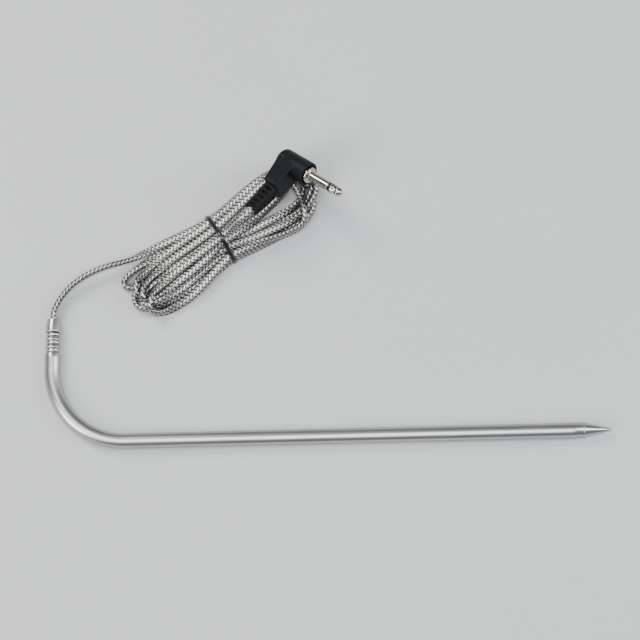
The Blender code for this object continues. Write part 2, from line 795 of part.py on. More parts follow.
def solder_lugs(parts, frame):
    low = (1.0 * MM, 0.2 * MM, -1.8 * MM)
    high = (1.3 * MM, 1.5 * MM, JACK_TAIL_LOW - TOUCH_GAP)
    box("sleeve_lug", low, high, brass(), parts, frame)
    profile = rod_profile(0.7 * MM, ROD_LOW - TOUCH_GAP - 0.35 * MM, ROD_LOW - TOUCH_GAP)
    turned("tip_lug", profile, brass(), parts, frame, SMALL_STEPS)


def plug_wires(parts, frame):
    """The two insulated conductors from the lugs out through the strain relief."""
    mouth = RELIEF_END - 0.3 * MM
    route_a = [(1.6, 0.85, -0.7), (2.6, 0.7, -0.5), (3.8, 0.5, 0.0)]
    route_b = [(1.05, -0.6, -1.1), (2.4, -0.6, -0.8), (3.8, -0.5, 0.0)]
    for name, route, side in (("plug_wire_a", route_a, 1.0), ("plug_wire_b", route_b, -1.0)):
        points = [Vector(point) * MM for point in route]
        points.append(Vector((mouth, side * WIRE_OFFSET, 0.0)))
        wire(name, points, WIRE_RADIUS, white_insulation(), parts, frame)


def cable_clamp(parts, frame):
    """The metal clip that grips the cable end inside the arm."""
    clamp = turned(
        "cable_clamp", ring_profile(1.65 * MM, 1.3 * MM, 5.8 * MM, 7.3 * MM), brass(), parts,
        frame, 24, ring=True,
    )
    along_x(clamp, 0.0)


def build():
    clear_scene()
    parts = new_collection("meat_thermometer")
    cutters = new_collection("cutters")
    probe_tube(parts, cutters)
    probe_tip(parts)
    bead_potting(parts)
    thermistor_bead(parts)
    core_front = thermistor_wiring(parts)
    insulation(parts, cutters, core_front)
    splice_sleeve(parts)
    braid_collar(parts)
    cable_ferrule(parts)
    cord_lead(parts)
    cord_hank(parts, cutters)
    hank_tie(parts)
    frame = plug_frame(parts)
    cord_tail(parts)
    plug_housing(parts, cutters, frame)
    strain_relief(parts, cutters, frame)
    contact_carrier(parts, frame)
    jack_sleeve(parts, frame)
    tip_insulator(parts, frame)
    jack_tip(parts, frame)
    solder_lugs(parts, frame)
    plug_wires(parts, frame)
    cable_clamp(parts, frame)


build()
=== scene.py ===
"""Visual model of a grill thermometer probe: steel J probe, braided cable in a tied hank, plug.

Lengths are in metres, written as millimetres times MM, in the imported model's frame. The cable's
route, its sections and the plug's working profiles are in millimetres.
"""

from math import atan, cos, hypot, pi, radians, sin, sqrt

import bmesh
import bpy
import numpy as np
from mathutils import Matrix, Vector


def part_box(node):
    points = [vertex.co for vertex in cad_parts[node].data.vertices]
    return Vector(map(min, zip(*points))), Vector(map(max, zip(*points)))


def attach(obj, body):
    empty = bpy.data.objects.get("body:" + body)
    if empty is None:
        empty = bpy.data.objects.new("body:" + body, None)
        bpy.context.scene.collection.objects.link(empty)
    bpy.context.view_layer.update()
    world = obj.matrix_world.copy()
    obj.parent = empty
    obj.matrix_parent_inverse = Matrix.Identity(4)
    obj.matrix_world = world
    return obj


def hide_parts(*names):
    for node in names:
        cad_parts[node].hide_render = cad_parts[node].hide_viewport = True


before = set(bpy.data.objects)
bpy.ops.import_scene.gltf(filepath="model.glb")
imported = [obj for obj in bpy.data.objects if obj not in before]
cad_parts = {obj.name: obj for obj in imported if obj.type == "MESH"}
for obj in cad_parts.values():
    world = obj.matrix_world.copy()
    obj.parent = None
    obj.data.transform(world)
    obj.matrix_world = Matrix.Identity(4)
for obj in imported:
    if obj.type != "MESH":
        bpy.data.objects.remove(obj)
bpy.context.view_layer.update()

MM = 0.001
FULL_TURN = 2.0 * pi

# Camera: what it looks at, how far away it is, its tilt and its roll
CAMERA_TARGET = Vector((-1.57, 16.3, 0.0)) * MM
CAMERA_DISTANCE = 600.0 * MM
CAMERA_TILT = radians(12.0)
CAMERA_ROLL = radians(1.36)
CAMERA_LENS = 124.9

# Steel probe
BEND_RADIUS = 19.5 * MM
BEND_ANGLE = radians(91.5)
LEG_LENGTH = 4.1 * MM
TUBE_WALL = 0.35 * MM
SPIGOT_LENGTH = 3.0 * MM
CRIMP_LENGTH = 5.8 * MM
CRIMP_PITCH = 2.15
# radius under which stations of the crimp fall in its grooves and are painted in shade
GROOVE_SHADE_RADIUS = 1.6 * MM
CRIMP_BORE = 1.2 * MM
HIGH_RING_START = 1.36
RING_LEAN = 0.03
FERRULE_LENGTH = 3.7 * MM
FERRULE_BORE = 1.1 * MM

# Cable: a flat section, wider than it is thick
CORD_HALF_WIDTH = 1.25
CORD_HALF_RISE = 0.75
HANK_CENTRE = (-28.3, 38.3)
HANK_HEADING = radians(30.0)
TIE_STATION = 0.6
TIE_HALF_BAND = 0.62
TIE_HALF_RISE = 0.3
TIE_CENTRE = 0.45

# Plug: its elbow, the directions of the jack and of the cable arm, then sizes in mm
ELBOW = Vector((-7.57, 56.37, 11.4)) * MM
JACK_HEADING = radians(-38.6)
JACK_RISE = radians(23.8)
ARM_HEADING = radians(-132.9)
ARM_RISE = radians(9.7)
BARREL_RADIUS = 3.35
BARREL_BACK = -4.6
BARREL_FRONT = 5.5
BARREL_ROUND = 1.2
ARM_END = 9.2
ARM_HALF_WIDTH = 3.2
ARM_FRONT = 2.2
ARM_BACK = 4.3
ARM_SLOPE = 2.2
RIB_RADIUS = 3.32
RIB_STEP = 0.55
RIB_HEADING = radians(-75.0)
RELIEF_END = 17.4
SLOT_WIDTH = 0.74
SLOT_STEP = 1.56
INSIDE_RELIEF = 7.0
SLOT_TURN = radians(-20.0)


# ---- camera


def add_object(name, data):
    item = bpy.data.objects.new(name, data)
    bpy.context.scene.collection.objects.link(item)
    return item


def make_camera():
    """A camera tilted from the vertical towards -Y and rolled a little."""
    back = Vector((0.0, -sin(CAMERA_TILT), cos(CAMERA_TILT)))
    level = Vector((1.0, 0.0, 0.0))
    rise = back.cross(level)
    right = level * cos(CAMERA_ROLL) - rise * sin(CAMERA_ROLL)
    up = level * sin(CAMERA_ROLL) + rise * cos(CAMERA_ROLL)
    data = bpy.data.cameras.new("view")
    data.lens = CAMERA_LENS
    data.sensor_width = 36.0
    data.clip_start = 0.01
    data.clip_end = 20.0
    camera = add_object("view", data)
    place = Matrix((right, up, back)).transposed().to_4x4()
    place.translation = CAMERA_TARGET + CAMERA_DISTANCE * back
    camera.matrix_world = place
    bpy.context.scene.camera = camera


make_camera()


# ---- node helpers


# Sockets of the mix node that carry colours, and the scale of one wave to each unit
MIX_A = 6
MIX_B = 7
MIX_OUT = 2
ONE_WAVE = 0.1 * pi


class Surface:
    """A procedural material: one Principled shader and the nodes that feed it."""

    def __init__(self, name, **fixed):
        self.material = bpy.data.materials.new(name)
        self.material.use_nodes = True
        self.tree = self.material.node_tree
        self.shader = self.tree.nodes["Principled BSDF"]
        for socket, value in fixed.items():
            self.shader.inputs[socket.replace("_", " ")].default_value = value

    def feed(self, socket, value):
        if isinstance(value, bpy.types.NodeSocket):
            self.tree.links.new(value, socket)
        else:
            socket.default_value = value

    def node(self, kind, **values):
        """A new node. Each value is a setting of its own or goes to the input of that name."""
        made = self.tree.nodes.new("ShaderNode" + kind)
        for name, value in values.items():
            if hasattr(made, name):
                setattr(made, name, value)
            else:
                self.feed(made.inputs[name.replace("_", " ")], value)
        return made

    def place(self, source="Object", scale=(1.0, 1.0, 1.0)):
        """Coordinates from the object or its UV map, stretched by scale."""
        coordinates = self.node("TexCoord").outputs[source]
        return self.node("Mapping", Vector=coordinates, Scale=scale).outputs["Vector"]

    def noise(self, scale, detail=3.0, roughness=0.55, vector=None):
        """Noise, laid on the object's own coordinates unless a vector is given."""
        vector = vector or self.place()
        made = self.node("TexNoise", Vector=vector, Scale=scale, Detail=detail, Roughness=roughness)
        return made.outputs["Fac"]

    def wave(self, vector, scale, direction="X"):
        made = self.node("TexWave", Vector=vector, Scale=scale, bands_direction=direction)
        return made.outputs["Fac"]

    def colours(self, factor, *stops):
        """A colour ramp; each stop is (position, colour)."""
        ramp = self.node("ValToRGB", Fac=factor)
        elements = ramp.color_ramp.elements
        while len(elements) < len(stops):
            elements.new(0.5)
        for element, (position, colour) in zip(elements, stops):
            element.position = position
            element.color = (*colour, 1.0)
        return ramp.outputs["Color"]

    def levels(self, factor, low, high, start=0.0, end=1.0):
        """The factor's range from start to end, spread from low to high."""
        made = self.node(
            "MapRange", Value=factor, From_Min=start, From_Max=end, To_Min=low, To_Max=high
        )
        return made.outputs["Result"]

    def combine(self, operation, first, second):
        made = self.node("Math", operation=operation)
        self.feed(made.inputs[0], first)
        self.feed(made.inputs[1], second)
        return made.outputs["Value"]

    def mixed(self, factor, first, second):
        made = self.node("Mix", data_type="RGBA", Factor=factor)
        self.feed(made.inputs[MIX_A], first)
        self.feed(made.inputs[MIX_B], second)
        return made.outputs[MIX_OUT]

    def finish(self, colour, roughness, height, depth, strength):
        """Links the colour, the roughness and a bump of this depth, and gives the material."""
        bump = self.node("Bump", Height=height, Distance=depth, Strength=strength)
        self.feed(self.shader.inputs["Base Color"], colour)
        self.feed(self.shader.inputs["Roughness"], roughness)
        self.feed(self.shader.inputs["Normal"], bump.outputs["Normal"])
        return self.material


# ---- materials


def satin_steel(name, base, roughness, grain, marks_scale=(2.0, 2.0, 1.0)):
    """Drawn or ground stainless steel: an even satin with fine marks and a faint heat tint."""
    made = Surface(name, Metallic=1.0, Specular_Tint=(0.35, 0.35, 0.36, 1.0))
    cloud = made.noise(120.0)
    streak = made.noise(1.0, 3.0, 0.6, made.place("UV", marks_scale))
    dark = tuple(0.93 * c for c in base)
    warm = (base[0], base[1] * 0.985, base[2] * 0.96)
    tone = made.colours(cloud, (0.3, dark), (0.52, base), (0.75, warm))
    scuff = made.levels(made.noise(2600.0, 4.0, 0.6), 0.0, 0.05, 0.55, 0.75)
    gloss = made.levels(streak, roughness - 0.03, roughness + 0.04, 0.25, 0.75)
    gloss = made.combine("ADD", gloss, scuff)
    return made.finish(tone, gloss, streak, grain, 0.2)


def nickel_plate():
    """Bright plating, slightly warm, with turning marks and finger smudges."""
    made = Surface("nickel_plate", Metallic=1.0, Specular_Tint=(0.45, 0.44, 0.42, 1.0))
    smudge = made.noise(420.0, 4.0)
    tone = made.colours(smudge, (0.3, (0.44, 0.41, 0.355)), (0.7, (0.54, 0.515, 0.455)))
    gloss = made.levels(smudge, 0.1, 0.17, 0.35, 0.7)
    marks = made.noise(6.0, vector=made.place("UV", (1.0, 60.0, 1.0)))
    return made.finish(tone, gloss, marks, 0.02 * MM, 0.5)


def woven_wire(name, shade):
    """Carriers of the braid: flat bunches of fine wires, painted bright on top, with painted shade
    where they dip, at their edges and between their wires.

    The map's first axis runs across a carrier and its second along the cable, where a carrier is on top
    at every odd number. shade sets how bright its wires are painted: high for the lit family, low for
    the family painted in shade."""
    made = Surface(name, Metallic=0.9)
    along = made.place("UV")
    wires = made.wave(along, 0.8)
    crown = made.wave(along, ONE_WAVE)
    over = made.wave(along, 0.5 * ONE_WAVE, "Y")
    age = made.noise(90.0, 4.0)
    fine = made.noise(1500.0, 2.0)
    light = (shade, 0.99 * shade, 0.965 * shade)
    worn = tuple(0.82 * c for c in light)
    bright = made.colours(age, (0.3, worn), (0.6, light))
    # painted shade: the dark colour where a carrier dips under the other family, at its edges and
    # between its wires
    dip_shade_colour = made.colours(age, (0.3, (0.045, 0.044, 0.042)), (0.6, (0.1, 0.098, 0.094)))
    # mask of painted light: bright where the carrier is on top and at its crown, painted shade towards
    # its edges and between its wires
    top = made.levels(over, 0.0, 1.0, 0.22, 0.72)
    top = made.combine("MULTIPLY", top, made.levels(crown, 0.1, 1.0, 0.1, 0.65))
    share = made.combine("MULTIPLY", top, made.levels(wires, 0.8, 1.0, 0.1, 0.55))
    tone = made.mixed(share, dip_shade_colour, bright)
    return made.finish(tone, made.levels(fine, 0.28, 0.44, 0.3, 0.7), wires, 0.03 * MM, 0.5)


def braid_shadow():
    """What shows between the carriers: the inside of the braid, painted dark as shadow."""
    made = Surface("braid_core_painted_shadow", Metallic=0.6)
    specks = made.noise(2200.0)
    tone = made.colours(specks, (0.35, (0.01, 0.01, 0.009)), (0.75, (0.05, 0.048, 0.045)))
    return made.finish(tone, made.levels(specks, 0.55, 0.8), specks, 0.03 * MM, 0.6)


def moulded_black(name, shade, low, high, coarse=1.0):
    """Black moulded plastic: fine spark-eroded grain, soft sheen changes, rubbed spots."""
    made = Surface(name, Specular_IOR_Level=0.16)
    grain = made.noise(5200.0 / coarse, 3.0, 0.6)
    cloud = made.noise(260.0, 4.0)
    lighter = tuple(1.9 * c for c in shade)
    tone = made.colours(cloud, (0.3, shade), (0.8, lighter))
    rub = made.levels(made.noise(900.0, 4.0, 0.65), 0.0, 0.1, 0.45, 0.75)
    gloss = made.combine("ADD", made.levels(grain, low, high, 0.3, 0.7), rub)
    return made.finish(tone, gloss, grain, 0.02 * MM, 0.55)


def glossy_tie():
    made = Surface("black_tie", Coat_Weight=0.8, Coat_Roughness=0.1, Specular_IOR_Level=0.4)
    ripple = made.noise(700.0)
    tone = made.colours(ripple, (0.3, (0.005, 0.0055, 0.0065)), (0.8, (0.013, 0.014, 0.016)))
    return made.finish(tone, made.levels(ripple, 0.25, 0.42, 0.3, 0.7), ripple, 0.05 * MM, 0.5)


def worn_metal(name, bright, dark, roughness):
    """Inner metal parts: drawn or rolled, with a little tarnish."""
    made = Surface(name, Metallic=1.0)
    tarnish = made.noise(800.0, 5.0, 0.6)
    tone = made.colours(tarnish, (0.35, dark), (0.6, bright))
    gloss = made.levels(tarnish, roughness + 0.15, roughness, 0.35, 0.65)
    marks = made.noise(2400.0, vector=made.place(scale=(1.0, 1.0, 6.0)))
    return made.finish(tone, gloss, marks, 0.02 * MM, 0.5)


def soft_skin(name, light, dark, roughness, scale, depth, **fixed):
    """Insulation, cement and the like: mottled colour over a fine uneven surface."""
    made = Surface(name, **fixed)
    mottle = made.noise(scale, 5.0, 0.6)
    pits = made.node("TexVoronoi", Vector=made.place(), Scale=scale * 3.0).outputs["Distance"]
    tone = made.colours(mottle, (0.3, dark), (0.68, light))
    gloss = made.levels(mottle, roughness + 0.1, roughness - 0.1, 0.3, 0.7)
    height = made.combine("ADD", mottle, made.combine("MULTIPLY", pits, 0.5))
    return made.finish(tone, gloss, height, depth, 0.5)


STEEL = satin_steel("stainless_steel", (0.56, 0.56, 0.555), 0.31, 0.003 * MM, (50.0, 0.12, 1.0))
STEEL_TURNED = satin_steel("steel_turned", (0.6, 0.6, 0.59), 0.29, 0.005 * MM, (2.0, 7.0, 1.0))
STEEL_ROLLED = satin_steel("steel_rolled", (0.66, 0.66, 0.65), 0.24, 0.001 * MM)
# painted shade: a darker copy of the steel for the crimp's grooves
STEEL_GROOVE_SHADE = satin_steel("steel_groove_painted_shade", (0.27, 0.27, 0.265), 0.36, 0.002 * MM)
NICKEL = nickel_plate()
# One braid steel in two copies: the crossing family is painted darker as shade, the other bright as lit
WIRE = woven_wire("braided_steel", 0.96)
SHADED_CROSS_WIRE = woven_wire("braided_steel_crossing_painted_shade", 0.42)
SHADOW = braid_shadow()
PLASTIC = moulded_black("black_plastic", (0.0042, 0.0045, 0.0054), 0.4, 0.52)
RELIEF_PLASTIC = moulded_black("relief_plastic", (0.004, 0.004, 0.0043), 0.48, 0.62, 1.4)
RING_PLASTIC = moulded_black("black_ring", (0.005, 0.005, 0.0055), 0.3, 0.42)
TIE = glossy_tie()
BRASS = worn_metal("brass", (0.8, 0.62, 0.3), (0.52, 0.36, 0.16), 0.28)
COPPER = worn_metal("tinned_copper", (0.76, 0.72, 0.68), (0.52, 0.47, 0.42), 0.3)
INSULATION = soft_skin(
    "white_insulation", (0.82, 0.8, 0.74), (0.66, 0.63, 0.55), 0.55, 900.0, 0.03 * MM
)
FILM = soft_skin(
    "amber_film", (0.62, 0.3, 0.05), (0.36, 0.15, 0.02), 0.22, 500.0, 0.02 * MM, Coat_Weight=0.5
)
CEMENT = soft_skin("grey_cement", (0.58, 0.57, 0.54), (0.38, 0.37, 0.35), 0.85, 1400.0, 0.08 * MM)
GLASS = soft_skin(
    "bead_glass", (0.34, 0.13, 0.08), (0.14, 0.05, 0.03), 0.12, 700.0, 0.01 * MM, Coat_Weight=0.8
)

# Finishes of the inside nodes, which have no piece of their own
INSIDE_FINISHES = (
    (GLASS, "thermistor_bead"),
    (COPPER, "thermistor_lead_a thermistor_lead_b splice_a splice_b core_wire_a core_wire_b"),
    (CEMENT, "bead_potting"),
    (FILM, "splice_sleeve"),
    (INSULATION, "insulation_a insulation_b plug_wire_a plug_wire_b"),
    (BRASS, "braid_collar sleeve_lug tip_lug cable_clamp"),
    (RING_PLASTIC, "contact_carrier"),
)


for finish, names in INSIDE_FINISHES:
    for name in names.split():
        for material_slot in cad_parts[name].material_slots:
            material_slot.material = finish


# ---- mesh helpers


def make_piece(name, verts, faces, finishes, replaces, uv, marks=None):
    """A mesh piece on the root body. marks gives each face its material index."""
    mesh = bpy.data.meshes.new(name)
    mesh.from_pydata(verts, [], faces)
    for finish in finishes:
        mesh.materials.append(finish)
    if marks is not None:
        mesh.polygons.foreach_set("material_index", marks)
    layer = mesh.uv_layers.new(name="along")
    corners = np.empty(len(mesh.loops), np.int32)
    mesh.loops.foreach_get("vertex_index", corners)
    layer.data.foreach_set("uv", np.asarray(uv, np.float32)[corners].ravel())
    mesh.update()
    mesh.shade_smooth()
    return settle(add_object(name, mesh), replaces)


def settle(item, replaces):
    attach(item, "root")
    if replaces:
        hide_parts(*replaces)
    return item


def unit(vectors):
    return vectors / np.maximum(np.linalg.norm(vectors, axis=-1, keepdims=True), 1e-9)


def distances(points):
    """How far along their line the points are."""
    gaps = np.linalg.norm(np.diff(points, axis=0), axis=1)
    return np.concatenate(([0.0], np.cumsum(gaps)))


def at_distances(points, run, wanted):
    return np.column_stack([np.interp(wanted, run, values) for values in points.T])


def resampled(points, step):
    """The same line with points this far apart."""
    run = distances(points)
    count = max(2, int(round(run[-1] / step)))
    return at_distances(points, run, np.linspace(0.0, run[-1], count + 1))


def even_loop(points, count):
    """A closed outline as count evenly spaced points, and its length."""
    closed = np.vstack((points, points[:1]))
    run = distances(closed)
    return at_distances(closed, run, np.linspace(0.0, run[-1], count, endpoint=False)), run[-1]


def outward_of(loop):
    """Outward directions at the points of a flat counterclockwise loop."""
    tangent = unit(np.roll(loop, -1, axis=0) - np.roll(loop, 1, axis=0))
    return np.column_stack((tangent[:, 1], -tangent[:, 0]))


def ring_faces(rows, sides, base=0, wrapped=False):
    """Faces between rings of vertices; wrapped joins the last ring to the first."""
    faces = []
    for i in range(rows if wrapped else rows - 1):
        low = base + i * sides
        high = base + (i + 1) % rows * sides
        for k in range(sides):
            m = (k + 1) % sides
            faces.append((low + k, low + m, high + m, high + k))
    return faces


# ---- the cable's route, in mm


def direction(heading, rise):
    level = cos(rise)
    return Vector((level * cos(heading), level * sin(heading), sin(rise)))


# The arm's measured direction is made square to the jack
JACK = direction(JACK_HEADING, JACK_RISE)
ROUGH_ARM = direction(ARM_HEADING, ARM_RISE)
ARM = (ROUGH_ARM - ROUGH_ARM.dot(JACK) * JACK).normalized()
HANK_COS = cos(HANK_HEADING)
HANK_SIN = sin(HANK_HEADING)


def probe_frame():
    """Radius, straight centre line, bend centre and front of the tube, read from the frame."""
    low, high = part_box("probe_tube")
    radius = (high.z - low.z) / 2.0
    straight_y = low.y + radius
    centre = Vector((low.x + radius + BEND_RADIUS, straight_y + BEND_RADIUS, low.z + radius))
    return radius, centre, high.x


TUBE_RADIUS, BEND_CENTRE, TUBE_FRONT = probe_frame()
LEG = Vector((-cos(BEND_ANGLE), sin(BEND_ANGLE), 0.0))
UP = Vector((0.0, 0.0, 1.0))


def bend_point(turn):
    return BEND_CENTRE + BEND_RADIUS * Vector((-sin(turn), -cos(turn), 0.0))


def leg_point(distance):
    return bend_point(BEND_ANGLE) + distance * LEG


def hank_point(along, across, height):
    return (
        HANK_CENTRE[0] + along * HANK_COS - across * HANK_SIN,
        HANK_CENTRE[1] + along * HANK_SIN + across * HANK_COS,
        height,
    )


def in_hank(points):
    """Along and across coordinates of points in the hank's axes."""
    x = points[:, 0] - HANK_CENTRE[0]
    y = points[:, 1] - HANK_CENTRE[1]
    return x * HANK_COS + y * HANK_SIN, y * HANK_COS - x * HANK_SIN


# Each loop of the hank: how far across the outgoing run lies at each station along the hank,
# where the far fold turns, the same for the run back, and where the near fold turns.
STATIONS = (-20.0, -10.0, 0.5, 8.0, 15.0, 21.5)
LOOPS = (
    ((7.5, 7.2, 5.7, 6.8, 9.2, 10.0), (29.4, 1.6), (-2.8, -3.0, -2.6, -2.2, -2.8, -2.2), (-29.8, 3.6)),
    ((5.8, 5.3, 3.0, 4.6, 7.0, 8.6), (30.2, 0.0), (-7.8, -6.6, -5.2, -4.8, -6.8, -8.0), (-29.9, -1.4)),
    ((1.8, 2.3, 0.3, 3.2, 5.8, 7.8), (31.2, 1.4), (-5.6, -4.6, -3.8, -4.0, -5.8, -7.2), (-29.0, -4.8)),
    ((0.0, 0.9, 1.6, 2.8, 5.4, 8.2), (31.9, 0.8), (-6.8, -5.6, -4.6, -1.0, -2.4, -4.0), (-28.5, -2.8)),
    ((4.5, 4.9, 4.7, 6.6, 9.1, 10.1), (27.6, 5.6), (2.4, 0.0, -1.5, -1.9, -4.2, -6.5), (-27.8, -3.6)),
    ((1.9, 2.2, 2.2, 5.1, 7.6, 8.8), (25.6, 5.4), (-9.9, -8.2, -4.8, -4.8, -7.5, -10.3), (-27.6, -6.6)),
)
LAST_RUN = (-1.5, -0.8, -0.1)
LOOP_RISE = 1.75
TAIL_POINTS = ((3.4, 0.0, 8.6), (4.8, 0.0, 10.5), (6.3, -0.1, 12.4), (7.9, -0.2, 13.9))
LEAD_POINTS = (
    (-71.9, 22.7, 2.3), (-68.7, 26.5, 2.8), (-64.3, 29.5, 3.2), (-59.9, 31.4, 3.3),
    (-55.4, 32.7, 3.2),
)

# Steps along the cable, in mm: of the simulation, of one turn of a carrier, of the skin's
# rings and of a twist, then how far the flat section twists at folds and in the last loops
NODE_STEP = 1.25
BRAID_LAY = 9.6
RING_STEP = BRAID_LAY / 32.0
TWIST_LENGTH = 11.0
FOLD_TWIST = radians(86.0)
RETURN_TWIST = radians(70.0)

# Settling: rounds, the last calm ones, nodes held in the plug, sinking in a round, pull back to
# the laid line, room inside the tie, search for contacts, and gaps kept under the cable
SETTLE_ROUNDS = 340
CALM_ROUNDS = 60
HELD_NODES = 14
SINK = 0.05
LAID_PULL = 0.1
CALM_PULL = 0.03
TIE_REACH = 2.2
TIE_HALF_WIDTH = 5.3
TIE_HEIGHT = 5.9
CONTACT_SEARCH = 3.6
FLOOR_GAP = 0.16
TIE_LIFT = 0.75


def lead_route():
    mouth = leg_point(LEG_LENGTH + CRIMP_LENGTH + FERRULE_LENGTH) / MM
    return [tuple(mouth + distance * LEG) for distance in (-0.6, 0.0, 1.9)] + list(LEAD_POINTS)


def fold_points(run_end, turn, next_start, height, side):
    """A fold: a shoulder, the far point and a second shoulder. side is 1 at the plug's end."""
    edge = STATIONS[-1] if side > 0 else STATIONS[0]
    shoulder = 0.5 * (edge + turn[0]) + 1.2 * side
    rise = 0.15 if side > 0 else 0.1
    start = 0.62 * run_end + 0.38 * turn[1]
    end = 0.62 * next_start + 0.38 * turn[1]
    return [
        hank_point(shoulder, start, height),
        hank_point(turn[0], turn[1], height + rise * LOOP_RISE),
        hank_point(shoulder, end, height + 2.0 * rise * LOOP_RISE),
    ]


def cable_route():
    """The cable as laid, before it settles: lead, loops and tail."""
    route = lead_route()
    starts = [loop[0][0] for loop in LOOPS[1:]] + [LAST_RUN[0]]
    for turn, (out, far, back, near) in enumerate(LOOPS):
        height = 1.0 + LOOP_RISE * turn
        for index, (along, across) in enumerate(zip(STATIONS, out)):
            first = turn == 0 and index == 0
            route.append(hank_point(along, across, 2.4 if first else height))
        route += fold_points(out[-1], far, back[0], height + 0.15 * LOOP_RISE, 1)
        for along, across in zip(reversed(STATIONS), back):
            route.append(hank_point(along, across, height + 0.5 * LOOP_RISE))
        route += fold_points(back[-1], near, starts[turn], height + 0.6 * LOOP_RISE, -1)
    height = 1.0 + LOOP_RISE * len(LOOPS)
    route += [hank_point(along, across, height) for along, across in zip(STATIONS, LAST_RUN)]
    route += [hank_point(*place) for place in TAIL_POINTS]
    elbow = ELBOW / MM
    for distance in (1.2, -0.6, -0.5 * INSIDE_RELIEF, -INSIDE_RELIEF):
        route.append(tuple(elbow + (RELIEF_END + distance) * ARM))
    return np.array(route)


def with_ends(points):
    """The points with one more beyond either end."""
    return np.vstack((2.0 * points[0] - points[1], points, 2.0 * points[-1] - points[-2]))


def smooth_line(points, step):
    """A centripetal Catmull-Rom line through the points."""
    ends = with_ends(points)
    line = [points[:1]]
    for p0, p1, p2, p3 in zip(ends, ends[1:], ends[2:], ends[3:]):
        knots = [max(np.linalg.norm(b - a), 1e-6) ** 0.5 for a, b in ((p0, p1), (p1, p2), (p2, p3))]
        leave = (p2 - p1) + knots[1] * ((p1 - p0) / knots[0] - (p2 - p0) / (knots[0] + knots[1]))
        arrive = (p2 - p1) + knots[1] * ((p3 - p2) / knots[2] - (p3 - p1) / (knots[1] + knots[2]))
        count = max(2, int(np.linalg.norm(p2 - p1) / 0.3))
        t = np.linspace(0.0, 1.0, count + 1)[1:, None]
        square = t * t
        cube = square * t
        line.append(
            (2.0 * cube - 3.0 * square + 1.0) * p1
            + (cube - 2.0 * square + t) * leave
            + (3.0 * square - 2.0 * cube) * p2
            + (cube - square) * arrive
        )
    return resampled(np.vstack(line), step)


def soft_turn(angle, values, start, reach):
    """0 up to start, the whole angle from start + reach on, soft between."""
    share = np.clip((values - start) / reach, 0.0, 1.0)
    return angle * share * share * (3.0 - 2.0 * share)


def section_axes(line):
    """The wide and thin axes of the flat cable at each point of its line.

    It lies flat in the runs and stands on edge round the folds and along the free lead."""
    tangent = unit(np.gradient(line, axis=0))
    level = unit(np.cross(np.array((0.0, 0.0, 1.0)), tangent))
    above = np.cross(tangent, level)
    along, _ = in_hank(line)
    turn = soft_turn(FOLD_TWIST, np.abs(along), 15.0, 9.0)
    top_loops = np.arange(len(line)) > 0.66 * len(line)
    returning = top_loops & (np.gradient(along) < 0.0) & (along > 2.0)
    edge_on = soft_turn(RETURN_TWIST, along, 3.0, 7.0)
    turn = np.where(returning, np.maximum(turn, edge_on), turn)
    width = max(1, int(round(TWIST_LENGTH / np.linalg.norm(line[1] - line[0]) / 2.0)))
    padded = np.pad(turn, width, mode="edge")
    turn = np.convolve(padded, np.ones(2 * width + 1) / (2 * width + 1), mode="valid")
    thin = np.cos(turn)[:, None] * above + np.sin(turn)[:, None] * level
    return np.cross(tangent, thin), thin


def push_from_plug(line, free):
    """Keeps the cable out of the plug's barrel, arm and strain relief."""
    elbow, arm, jack = (np.array(vector) for vector in (ELBOW / MM, ARM, JACK))
    shapes = (
        (elbow, elbow + ARM_END * arm, 3.0),
        (elbow + ARM_END * arm, elbow + (RELIEF_END - 2.0) * arm, 2.4),
        (elbow - 2.0 * jack, elbow + 4.0 * jack, 3.3),
    )
    for start, end, radius in shapes:
        axis = end - start
        share = np.clip(((line - start) @ axis) / (axis @ axis), 0.0, 1.0)
        away = line - (start + share[:, None] * axis)
        gap = np.maximum(np.linalg.norm(away, axis=1), 1e-6)
        line += (away / gap[:, None]) * (0.5 * np.clip(radius + 1.0 - gap, 0.0, None) * free)[:, None]


def straightened(line, reach, strength):
    """A pull on each point towards the middle of the two that are reach points away."""
    bend = np.zeros_like(line)
    bend[reach:-reach] = 0.5 * (line[:-2 * reach] + line[2 * reach:]) - line[reach:-reach]
    return bend * strength[:, None]


def keep_length(line, free):
    """Puts neighbouring nodes back to their distance, every second pair at a time."""
    for start in (0, 1):
        a = np.arange(start, len(line) - 1, 2)
        b = a + 1
        span = line[b] - line[a]
        size = np.linalg.norm(span, axis=1)
        fix = ((size - NODE_STEP) / np.maximum(size, 1e-6))[:, None] * span * 0.5
        line[a] += fix * (free[a] * np.where(free[b] > 0.0, 1.0, 2.0))[:, None]
        line[b] -= fix * (free[b] * np.where(free[a] > 0.0, 1.0, 2.0))[:, None]


def pushed_apart(line, pairs, wide, thin):
    """How far contact moves the nodes of pairs whose flat sections overlap."""
    one, two = pairs
    gap = line[one] - line[two]
    length = np.maximum(np.linalg.norm(gap, axis=1), 1e-6)
    normal = gap / length[:, None]
    reach = 0.0
    for side in (one, two):
        reach = reach + np.hypot(
            CORD_HALF_WIDTH * (normal * wide[side]).sum(1),
            CORD_HALF_RISE * (normal * thin[side]).sum(1),
        )
    push = (0.25 * np.clip(reach - length, 0.0, None))[:, None] * normal
    moved = np.zeros_like(line)
    np.add.at(moved, one, push)
    np.add.at(moved, two, -push)
    return moved


